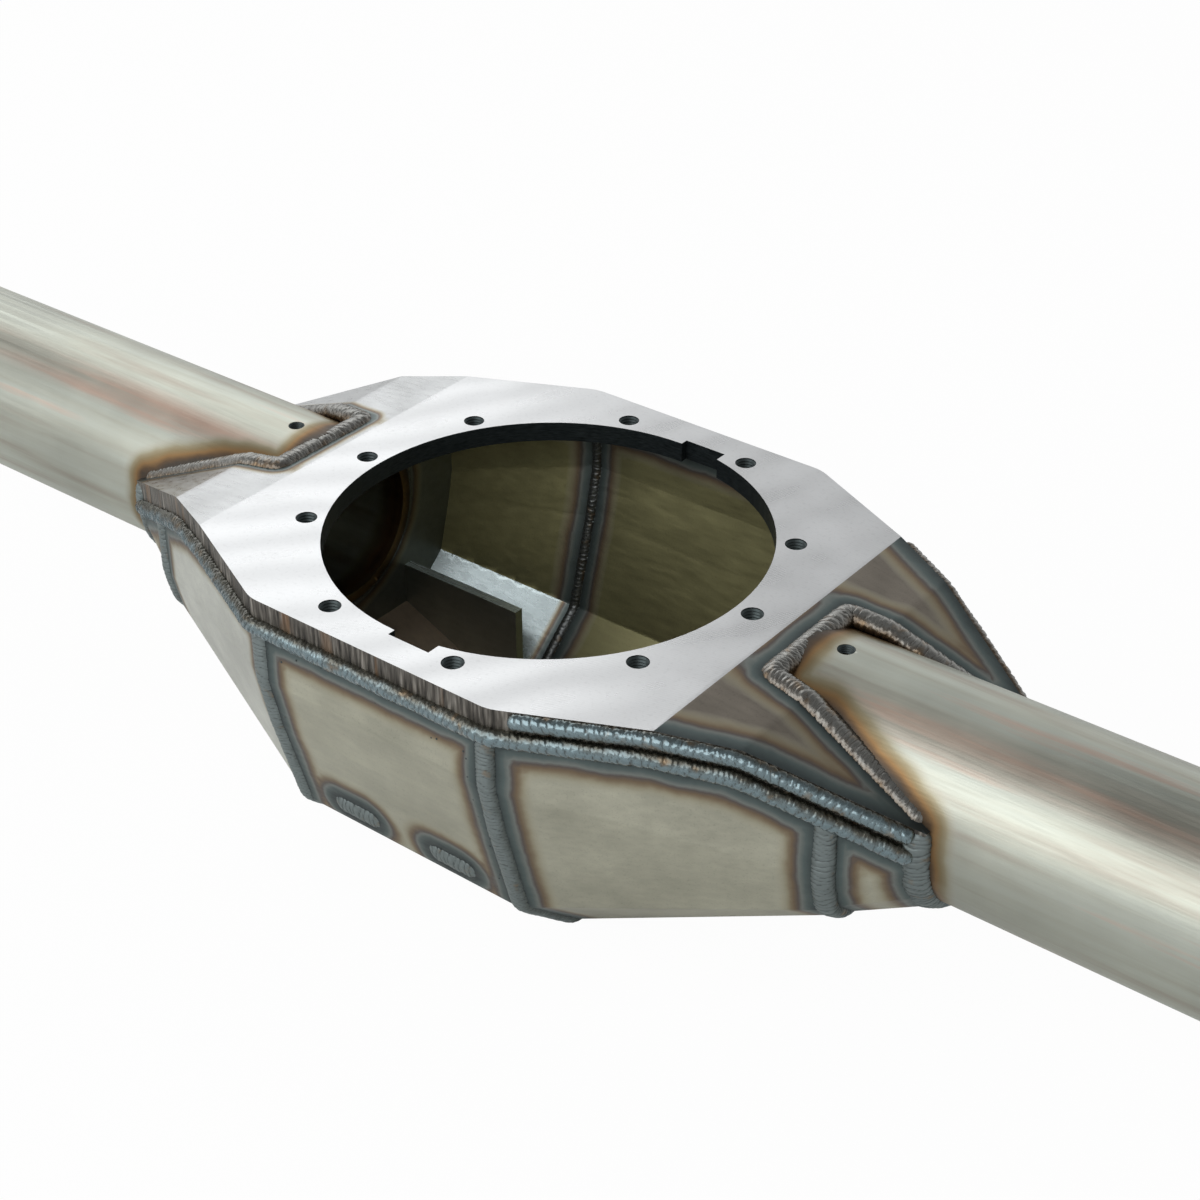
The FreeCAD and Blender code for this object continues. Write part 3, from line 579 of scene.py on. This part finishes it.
flame_cut, tree = new_material("flame_cut_edge")
drag = drawn_out(tree, on_piece(tree), (1.0, 1.0, 0.10))
strokes = cloudy(tree, drag, 420.0, 4.0)
coarse = cloudy(tree, drag, 130.0, 2.0)
rust = cloudy(tree, drag, 95.0, 5.0)
edge_colour = ramp(tree, strokes, [(0.30, (0.035, 0.033, 0.030)), (0.48, (0.13, 0.12, 0.105)),
                                   (0.60, (0.25, 0.235, 0.21)), (0.74, (0.50, 0.47, 0.42))])
edge_colour = blend(tree, stretch(tree, rust, 0.60, 0.72, 0.0, 0.6), edge_colour, EDGE_RUST)
ridges = calc(tree, "ADD", strokes, calc(tree, "MULTIPLY", coarse, 1.6))
metal_surface(tree, edge_colour, swing(tree, strokes, 0.34, 0.55), 0.8, ridges, bump=0.8, depth=1.6)

# The bore's wall: its near-black colour is painted shade, standing in for the shade on the wall of the
# carrier opening.
bore_painted_dark, tree = new_material("bore_wall_painted_shade")
feed = cloudy(tree, drawn_out(tree, on_piece(tree), (1.0, 1.0, 9.0)), 210.0, 3.0)
bore_shade_colour = ramp(tree, feed, [(0.3, (0.016, 0.022, 0.025)), (0.7, (0.045, 0.057, 0.062))])
metal_surface(tree, bore_shade_colour, swing(tree, feed, 0.3, 0.45), 0.7, feed, bump=0.15, depth=0.5)

# The two wings are lit and shaded copies of one mill finish: the left wing's bare colour is painted light
# and the right wing's painted shade, each with its own width of heat colours.
left_wing_painted_light = steel("left_wing_painted_light", (0.56, 0.575, 0.58), 9.0, 0.30, bump=0.03)
right_wing_painted_shade = steel("right_wing_painted_shade", (0.235, 0.21, 0.175), 20.0, 0.34, bump=0.03)


def face_plate_finish(centre, normal):
    """Which finish a facet of the face plate has: machined top, flame-cut edge, bore or mill plate.

    The bore is painted near black as painted shade, and the mill plate is painted light on the left
    wing and painted shade on the right.
    """
    if normal.z > TOP_Z:
        return 0
    if abs(normal.z) > WALL_Z:
        # The left wing takes the painted-light copy of the mill plate, and the right wing the painted-shade
        # copy.
        return 3 if centre.x < 0 else 4
    return 1 if math.hypot(centre.x, centre.y) > BORED_REACH else 2


plate_piece("face_plate", "machined_plate", face_plate_finish, machined, flame_cut, bore_painted_dark, left_wing_painted_light,
            right_wing_painted_shade)


# The threads of the ten bolt holes and of the two breather holes: rolled crests that stand inside
# the plain holes of the CAD plate and tubes. Each is given by its radius, crest, pitch and length.
BOLT_CIRCLE = 141.3
BOLT_ANGLES = (0, 31.8, 71.8, 108.2, 148.2, 180, 211.8, 251.8, 288.2, 328.2)
BOLT_THREAD = (6.35, 0.95, 1.95, 12.0)
BOLT_THREAD_TOP = -0.7
BREATHER_PLACE = 201.0
BREATHER_THREAD = (5.0, 0.7, 1.4, 5.8)
BREATHER_THREAD_SINK = 0.5
THREAD_SINK, THREAD_BACK = 0.05, 0.5
THREAD_STEPS = 40
cut_thread = steel("cut_thread", (0.62, 0.63, 0.63), 1.0, 0.25, bump=0.0)


def thread(shape, centre, radius, crest, pitch, length):
    """One hole's thread: a saw-toothed line turned about the hole's axis."""
    count = int(length / pitch)
    line = []
    for i in range(count + 1):
        line.append((radius + THREAD_SINK, -i * pitch))
        if i < count:
            line.append((radius - crest, -(i + 0.5) * pitch))
    line += [(radius + THREAD_BACK, -count * pitch), (radius + THREAD_BACK, 0)]
    verts = [shape.verts.new((centre[0] + reach, centre[1], centre[2] + up)) for reach, up in line]
    edges = [shape.edges.new(pair) for pair in zip(verts, verts[1:] + verts[:1])]
    bmesh.ops.spin(shape, geom=verts + edges, cent=centre, axis=(0, 0, 1), angle=2 * math.pi,
                   steps=THREAD_STEPS, use_merge=True)


threads = bmesh.new()
for angle in BOLT_ANGLES:
    turn = math.radians(angle)
    thread(threads, (BOLT_CIRCLE * math.cos(turn), BOLT_CIRCLE * math.sin(turn), BOLT_THREAD_TOP),
           *BOLT_THREAD)
for along in (1, -1):
    thread(threads, (along * BREATHER_PLACE, 0, TUBE_RADIUS - TUBE_DEPTH - BREATHER_THREAD_SINK),
           *BREATHER_THREAD)
bmesh.ops.scale(threads, vec=(MM, MM, MM), verts=threads.verts)
bmesh.ops.recalc_face_normals(threads, faces=threads.faces)
bolt_threads = mesh_piece("threads", threads, cut_thread)
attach(bolt_threads, "root")


# The shell: one folded strip in the middle and a tapered end each side, all 6.35 mm plate with a
# dull tan mill finish outside, and olive scale inside where no brush reached. The left shell's
# outside is a paler copy of the mill finish, painted light; the olive inside is painted darker
# than the outside, partly as painted shade; and facets of the left end that face partly upward
# carry a painted highlight that stands in for the sky's reflection.
outside = steel("shell_outside", (0.50, 0.495, 0.40), 20.0, 0.36)
# A paler copy of the outside mill finish for the left shell: painted light, where the left side catches more
# light.
outside_painted_light = steel("shell_outside_painted_light", (0.66, 0.675, 0.62), 16.0, 0.36)
# The olive scale inside is painted darker than the outside, partly as painted shade of the interior.
inside = steel("shell_inside", (0.34, 0.32, 0.165), 16.0, 0.40, metal=0.7)
# A pale blue-white steel that is painted highlight: it stands in for the sky's reflection on inner facets
# that face partly upward.
painted_highlight_steel = steel("painted_highlight_steel", (0.60, 0.70, 0.72), 8.0, 0.26, metal=0.6, bump=0.03)
rusty_floor = steel("rusty_floor", (0.46, 0.36, 0.27), 16.0, 0.42, metal=0.7)


def shell_finish(centre, normal):
    """Which finish a facet has: mill plate outside, and scale, a painted-highlight strip or rusty floor
    inside.
    """
    if normal.y * centre.y + normal.z * (centre.z + TUBE_DEPTH) > 0:
        return 0
    if centre.x > -SEAM or normal.z < WALL_Z:
        return 1
    # In the left end, facets that face partly upward get the painted highlight, and level ones the rusty
    # floor.
    return 3 if normal.z > LEVEL_Z else 2


for name in ("centre_shell", "left_shell", "right_shell"):
    # The left shell wears the painted-light copy of the mill finish.
    skin = outside_painted_light if name == "left_shell" else outside
    plate_piece(name, "shell_plate", shell_finish, skin, inside, painted_highlight_steel, rusty_floor)
for side in ("left", "right"):
    for half in ("near", "far"):
        plate_piece(f"{side}_{half}_filler", "shell_plate", shell_finish, outside, inside, painted_highlight_steel,
                    rusty_floor)


# The inner plates: a bulkhead round each tube's inner end and two gusset fins below it, of plain
# plate in a dark grey, darker than the shell, with a painted highlight on the gussets' upward faces.
inner_steel = steel("inner_steel", (0.24, 0.26, 0.235), 16.0, 0.33, metal=0.85)
for side in ("left", "right"):
    plate_piece(f"{side}_bulkhead", "inner_plate", lambda centre, normal: 0, inner_steel)
    for half in ("near", "far"):
        # The gussets' faces that look straight up get the painted highlight.
        plate_piece(f"{side}_{half}_gusset", "inner_plate", lambda centre, normal: int(normal.z > LEVEL_Z),
                    inner_steel, painted_highlight_steel)


# The axle tubes: drawn steel tube, satin, with streaks along its length, a coppery stripe on the
# near side, and a scorched halo beside the welds that runs from black through amber to straw.
SCORCH_WIDTH = 16.0
SCORCH_COLOURS = [
    (0.0, (0.07, 0.06, 0.05)), (0.12, (0.12, 0.08, 0.05)), (0.28, (0.26, 0.16, 0.075)),
    (0.46, (0.27, 0.215, 0.125)), (0.68, (0.37, 0.34, 0.245)), (1.0, (0.50, 0.48, 0.41))]
TUBE_COLOURS = [(0.30, (0.43, 0.40, 0.34)), (0.46, (0.51, 0.525, 0.455)), (0.62, (0.555, 0.585, 0.52)),
                (0.74, (0.62, 0.51, 0.43))]
COPPER = (0.66, 0.46, 0.36, 1)
COPPER_Y, COPPER_HALF, COPPER_SHARE = -0.026, 0.013, 0.75
COPPER_LOW, COPPER_HIGH = -0.03, -0.02
TURN_STEP = 3
HOT_REACH = 330.0
ROUND_SLACK = 0.35

scorch, given = new_group("tube_scorch", {"Distance": "Float", "Bare": "Color"}, {"Color": "Color"})
wander = cloudy(scorch, on_piece(scorch), 22.0, 3.0)
share = calc(scorch, "DIVIDE", given["Distance"], SCORCH_WIDTH)
share = calc(scorch, "ADD", share, swing(scorch, wander, -0.16, 0.16), clamp=True)
burn = ramp(scorch, share, SCORCH_COLOURS)
burnt = blend(scorch, stretch(scorch, share, 0.6, 1.0, 1.0, 0.0), given["Bare"], burn)
put(scorch, "NodeGroupOutput", {"Color": burnt})

drawn_tube, tree = new_material("drawn_tube")
place = on_piece(tree)
along_it = drawn_out(tree, place, (0.045, 1.0, 1.0))
streak = cloudy(tree, along_it, 95.0, 4.0)
hair = cloudy(tree, along_it, 900.0, 2.0)
cloud = cloudy(tree, place, 12.0, 4.0)
bare = ramp(tree, streak, TUBE_COLOURS)
cross = put(tree, "ShaderNodeSeparateXYZ", {0: place}).outputs
beside = calc(tree, "ABSOLUTE", calc(tree, "SUBTRACT", cross["Y"], COPPER_Y))
copper = calc(tree, "MULTIPLY", stretch(tree, beside, 0.0, COPPER_HALF, 1.0, 0.0),
              stretch(tree, streak, 0.42, 0.6))
copper = calc(tree, "MULTIPLY", copper, stretch(tree, cross["Z"], COPPER_LOW, COPPER_HIGH))
bare = blend(tree, calc(tree, "MULTIPLY", copper, COPPER_SHARE), bare, COPPER)
bare = blend(tree, 1.0, bare, grey(tree, swing(tree, cloud, 0.84, 1.06)), "MULTIPLY")
gap = put(tree, "ShaderNodeAttribute", attribute_name="weld").outputs["Fac"]
scorched = put(tree, "ShaderNodeGroup", {"Distance": gap, "Bare": bare}, node_tree=scorch)
tube_rough = calc(tree, "ADD", swing(tree, cloud, 0.33, 0.43), swing(tree, hair, -0.03, 0.05))
metal_surface(tree, scorched.outputs["Color"], tube_rough, 1.0, hair, bump=0.05, depth=1.0)


def rounded_tube(name):
    """A tube whose divided facets are drawn out to its true round."""
    shape = divided(name, "x", HOT_REACH)
    for turn in range(0, 180, TURN_STEP):
        cut(shape, (0, 0, -TUBE_DEPTH * MM),
            Vector((0, math.cos(math.radians(turn)), math.sin(math.radians(turn)))))
    for vert in shape.verts:
        spoke = Vector((0, vert.co.y, vert.co.z + TUBE_DEPTH * MM))
        for radius in (TUBE_RADIUS, TUBE_RADIUS - WALL):
            if abs(spoke.length / MM - radius) < ROUND_SLACK:
                spoke *= radius * MM / spoke.length
                vert.co = (vert.co.x, spoke.y, spoke.z - TUBE_DEPTH * MM)
                break
    mark_heat(shape)
    smooth(shape)
    piece = mesh_piece(name + "_steel", shape, drawn_tube)
    piece.data.set_sharp_from_angle(angle=SHARP_ANGLE)
    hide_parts(name)
    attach(piece, "root")


rounded_tube("left_tube")
rounded_tube("right_tube")


# The welds: each bead is laid in overlapping ripples like a row of coins, with its ends run out.
# The metal is blue-grey, brown or dull under a thin glaze. Its creases are painted dark as painted
# shade, and its flanks are painted darker than its crown as painted shade, with brown oxide on the
# flanks of the brown beads.
STEP = 0.55
AROUND = 22
BEAD_RUST = (0.34, 0.22, 0.11, 1)
RUN_OUT = 0.8
BOW_LIMIT = 1.6
COIN_EDGE = 2.5
DRIFT_DEPTH = 0.9
GRIT_SHARE = 0.6
LUMP_MARGIN = 0.8
SWELL_DEPTH, SWELL_MARGIN = 0.3, 0.6
WORN_END = 60
LONG_RIPPLE, SHORT_RIPPLE, FAR_SIDE = 5.0, 2.8, 12
LEFT_RIPPLE, RIPPLE_GROWTH, GROWTH_START, GROWTH_LENGTH = 2.9, 1.9, -20, 120

# Unevenness of a bead: how fine it is round the bead, how fine along it, and a seed for each radius.
DRIFT = (0.8, 0.45, 1)
LUMPS = (1.4, 0.35, 3)
GRIT = (3.2, 1.1, 5)
SWELL = (0.0, 0.06, 7)


def weld_metal(name, crown, flank_oxide_and_shade, crease_shade, roughness, glaze):
    """Weld metal whose colour follows the bead's crown, flanks and creases.

    Its flanks and creases are darkened as painted shade.
    """
    material, tree = new_material(name)
    marks = put(tree, "ShaderNodeAttribute", attribute_name="bead").outputs["Vector"]
    marks = put(tree, "ShaderNodeSeparateXYZ", {0: marks}).outputs
    place = on_piece(tree)
    patch = cloudy(tree, place, 110.0, 4.0)
    fine = cloudy(tree, place, 700.0, 3.0)
    # The flanks are painted darker than the crown: painted shade toward the plate, with brown oxide where
    # the flank colour is brown.
    side = calc(tree, "ABSOLUTE", marks["Y"])
    side = calc(tree, "ADD", side, swing(tree, patch, -0.35, 0.35))
    colour = blend(tree, stretch(tree, side, 0.5, 1.25), (*crown, 1), (*flank_oxide_and_shade, 1))
    # The creases between the ripples are painted dark: painted shade in the hollows.
    colour = blend(tree, stretch(tree, marks["Z"], 0.0, 0.55, 0.85, 0.0), colour, (*crease_shade, 1))
    colour = blend(tree, stretch(tree, patch, 0.60, 0.75, 0.0, 0.5), colour, BEAD_RUST)
    rough = calc(tree, "ADD", stretch(tree, marks["Z"], 0.0, 1.0, roughness + 0.25, roughness),
                 swing(tree, fine, -0.04, 0.08))
    metal_surface(tree, colour, rough, 0.92, fine, bump=0.25, depth=0.6, glaze=glaze)
    return material


bright_bead = weld_metal("bright_bead", crown=(0.20, 0.275, 0.30), flank_oxide_and_shade=(0.09, 0.09, 0.072),
                         crease_shade=(0.03, 0.025, 0.018), roughness=0.17, glaze=0.8)
brown_bead = weld_metal("brown_bead", crown=(0.25, 0.25, 0.235), flank_oxide_and_shade=(0.13, 0.10, 0.07),
                        crease_shade=(0.05, 0.035, 0.025), roughness=0.22, glaze=0.4)
matte_bead = weld_metal("matte_bead", crown=(0.24, 0.28, 0.28), flank_oxide_and_shade=(0.16, 0.185, 0.18),
                        crease_shade=(0.08, 0.09, 0.09), roughness=0.40, glaze=0.0)
dark_bead = weld_metal("dark_bead", crown=(0.16, 0.17, 0.17), flank_oxide_and_shade=(0.06, 0.06, 0.055),
                       crease_shade=(0.02, 0.02, 0.02), roughness=0.32, glaze=0.3)


def eased(run, ease):
    """Points evenly along a run, with its corners rounded off."""
    corners = np.array(run, float)
    lengths = np.concatenate([[0], np.cumsum(np.linalg.norm(np.diff(corners, axis=0), axis=1))])
    count = max(8, int(lengths[-1] / STEP))
    along = np.linspace(0, lengths[-1], count)
    points = np.stack([np.interp(along, lengths, corners[:, i]) for i in range(3)], axis=1)
    width = max(1, int(ease / STEP))
    padded = np.pad(points, ((width, width), (0, 0)), mode="reflect", reflect_type="odd")
    window = np.ones(2 * width + 1) / (2 * width + 1)
    return np.stack([np.convolve(padded[:, i], window, "valid") for i in range(3)], axis=1), along


def unit(vectors):
    """Vectors brought to length one."""
    return vectors / np.linalg.norm(vectors, axis=1)[:, None]


def uneven(kind, ring, along, radius):
    """Unevenness at a place round and along a bead, which closes on itself round the bead."""
    round_it, along_it, seed = kind
    return noise.noise(round_it * ring + Vector((along * along_it, radius * seed, 0)))


def bead(name, node, run, material, radius, crown, pitch, depth, rough=0.25, bow=0.8, ease=5.0, flat=1.0,
         worn_left=1.0):
    """A rippled bead that stands for a CAD weld.

    It is flatter where it is laid wide or fills a slot, and rougher on the left where it is worn.
    """
    centre, along = eased(run, ease)
    ahead = unit(np.gradient(centre, axis=0))
    up = np.array([crown(point) for point in centre], float)
    up = unit(up - (up * ahead).sum(1)[:, None] * ahead)
    over = np.cross(ahead, up)
    count = len(centre)
    pitches = np.array([pitch(point) for point in centre])
    phase = np.concatenate([[0], np.cumsum(np.diff(along) / pitches[1:])])
    run_out = np.clip(np.minimum(along, along[-1] - along) / (RUN_OUT * radius), 0, 1)
    run_out = np.sqrt(1 - (1 - run_out) ** 2)
    shape = bmesh.new()
    bmesh.ops.create_grid(shape, x_segments=count - 1, y_segments=AROUND, size=1.0)
    layer = shape.verts.layers.float_vector.new("bead")
    for vert in shape.verts:
        i = round((vert.co.x + 1) / 2 * (count - 1))
        turn = math.pi * vert.co.y
        ring = Vector((0, math.cos(turn), math.sin(turn)))
        drift = uneven(DRIFT, ring, phase[i], radius)
        wave = (phase[i] - bow * min(abs(turn), BOW_LIMIT) ** 2 + DRIFT_DEPTH * drift) % 1.0
        ripple = 1 - (1 - wave) ** COIN_EDGE
        lump = uneven(LUMPS, ring, along[i], radius) + GRIT_SHARE * uneven(GRIT, ring, along[i], radius)
        swell = uneven(SWELL, ring, along[i], radius)
        worn = worn_left if centre[i][0] < WORN_END else 1.0
        reach = radius - depth * (1 - ripple) - worn * rough * (LUMP_MARGIN + lump)
        reach = (reach - SWELL_DEPTH * (SWELL_MARGIN + swell)) * run_out[i]
        place = centre[i] + reach * (flat * math.cos(turn) * up[i] + math.sin(turn) * over[i])
        vert.co = Vector(place) * MM
        vert[layer] = Vector((0, turn, ripple))
    bmesh.ops.remove_doubles(shape, verts=shape.verts, dist=2 * SAME_POINT * MM)
    bmesh.ops.recalc_face_normals(shape, faces=shape.faces)
    smooth(shape)
    piece = mesh_piece(name, shape, material)
    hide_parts(node)
    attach(piece, "root")


def towards(x, y, z):
    """A crown that points the same way all along."""
    return lambda point: (x, y, z)


def from_core(out, lean=0.0):
    """A crown that points away from the tube's axis, or back at it."""
    return lambda point: (lean, out * point[1], out * (point[2] + TUBE_DEPTH))


def steady(pitch):
    """Ripples of one length."""
    return lambda point: pitch


def coarser_far(point):
    """Ripples that are long on the far side of a tube and short on the near side."""
    return LONG_RIPPLE if point[1] > FAR_SIDE else SHORT_RIPPLE


def coarser_right(point):
    """Ripples that grow from the left end to the right."""
    return LEFT_RIPPLE + RIPPLE_GROWTH * min(1.0, max(0.0, (point[0] - GROWTH_START) / GROWTH_LENGTH))


for half, over in HALVES:
    bead(f"{half}_root_bead", f"{half}_root_weld", flipped(root_run, 1, over), bright_bead,
         radius=ROOT_RADIUS, crown=towards(0, over, -0.35), pitch=coarser_right, depth=0.7, rough=0.3,
         worn_left=1.7)
    bead(f"{half}_edge_bead", f"{half}_edge_weld", flipped(edge_run(EDGE_STARTS[half]), 1, over),
         bright_bead if half == "near" else brown_bead, radius=EDGE_RADIUS, crown=towards(0, over, 0.5),
         pitch=steady(4.4), depth=0.7, rough=0.3)

for side, along in SIDES:
    bead(f"{side}_seam_bead", f"{side}_seam_weld", flipped(seam_run, along), matte_bead, radius=6.6,
         crown=from_core(1), pitch=steady(2.8), depth=0.6, bow=0.35, flat=0.8)
    bead(f"{side}_inner_bead", f"{side}_inner_weld", flipped(inner_run, along), dark_bead,
         radius=SEAM_RADIUS, crown=from_core(-1), pitch=steady(3.2), depth=0.4, rough=0.15)
    bead(f"{side}_notch_bead", f"{side}_notch_weld", flipped(notch_run, along), brown_bead, radius=7.9,
         crown=towards(0, 0, 1), pitch=coarser_far, depth=0.9, rough=0.4, ease=4.0, flat=0.78)
    bead(f"{side}_ring_bead", f"{side}_ring_weld", flipped(ring_run, along), dark_bead, radius=4.6,
         crown=from_core(1, lean=-60 * along), pitch=steady(4.0), depth=0.5)
    for half, over in HALVES:
        bead(f"{side}_{half}_end_bead", f"{side}_{half}_end_weld", flipped(end_run, along, over),
             matte_bead, radius=7.4, crown=from_core(1, lean=30 * along), pitch=steady(3.0), depth=0.7,
             rough=0.3, bow=0.35, flat=0.7)
        bead(f"{side}_{half}_collar_bead", f"{side}_{half}_collar_weld", flipped(collar_run, along, over),
             matte_bead, radius=8.8, crown=from_core(1, lean=40 * along), pitch=steady(3.4), depth=0.9,
             rough=0.4, bow=0.35, flat=0.62)


# The slot welds: two plugs of weld that fill slots through the near lower wall. Each is a short
# flattened bead that is sunk into the wall, so that only its crown shows.
PLUG_RADIUS = 9.0
PLUG_SINK = 2.7
plug_out = Vector((0, -1, -plug_lean)).normalized()
sunk = Vector((0, -plug_y, -PLUG_DEPTH)) - plug_out * PLUG_SINK
plug_half = PLUG_REACH + PLUG_RADIUS
for count, along in enumerate((-1, 1), start=1):
    run = [(along * PLUG_PLACE + shift, sunk.y, sunk.z) for shift in (-plug_half, plug_half)]
    bead(f"plug_bead_{count}", "slot_welds", run, matte_bead, radius=PLUG_RADIUS, crown=towards(*plug_out),
         pitch=steady(3.4), depth=0.9, rough=0.7, bow=0.3, ease=0.0, flat=0.6)


# The spatter: small beads of metal thrown from the welds, that stuck to the near walls below the
# root weld and beside the girth seams.
SPATTER_COUNT = 260
BELOW_ROOT = (6.5, 19.0)
BESIDE_SEAM = (5.5, 13.0)
DROP_RADII = (0.35, 0.8)
WALL_STAND, SEAM_STAND = 0.2, 2.4
chance = random.Random(7)
spatter = bmesh.new()
near_runs = [flipped(root_run, 1, -1), seam_run, flipped(seam_run, -1), flipped(end_run, 1, -1)]
for count in range(SPATTER_COUNT):
    run = near_runs[count % len(near_runs)]
    start = chance.randrange(len(run) - 1)
    share = chance.random()
    centre = [a + share * (b - a) for a, b in zip(run[start], run[start + 1])]
    if run is near_runs[0]:
        centre[2] -= chance.uniform(*BELOW_ROOT)
        centre[1] = -min(edge_y(centre[0]), HALF_WIDTH) + WALL_STAND
        keep = abs(centre[0]) < SEAM
    else:
        away = chance.choice((-1, 1)) * chance.uniform(*BESIDE_SEAM)
        centre[0] += away
        outer = Vector((0, centre[1], centre[2] + TUBE_DEPTH)).normalized() * SEAM_STAND
        centre[1], centre[2] = centre[1] + outer.y, centre[2] + outer.z
        keep = abs(centre[0]) < SEAM and centre[1] < 0
    if keep:
        bmesh.ops.create_icosphere(spatter, subdivisions=2, radius=chance.uniform(*DROP_RADII),
                                   matrix=Matrix.Translation(centre))
bmesh.ops.scale(spatter, vec=(MM, MM, MM), verts=spatter.verts)
smooth(spatter)
drops = mesh_piece("spatter", spatter, matte_bead)
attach(drops, "root")
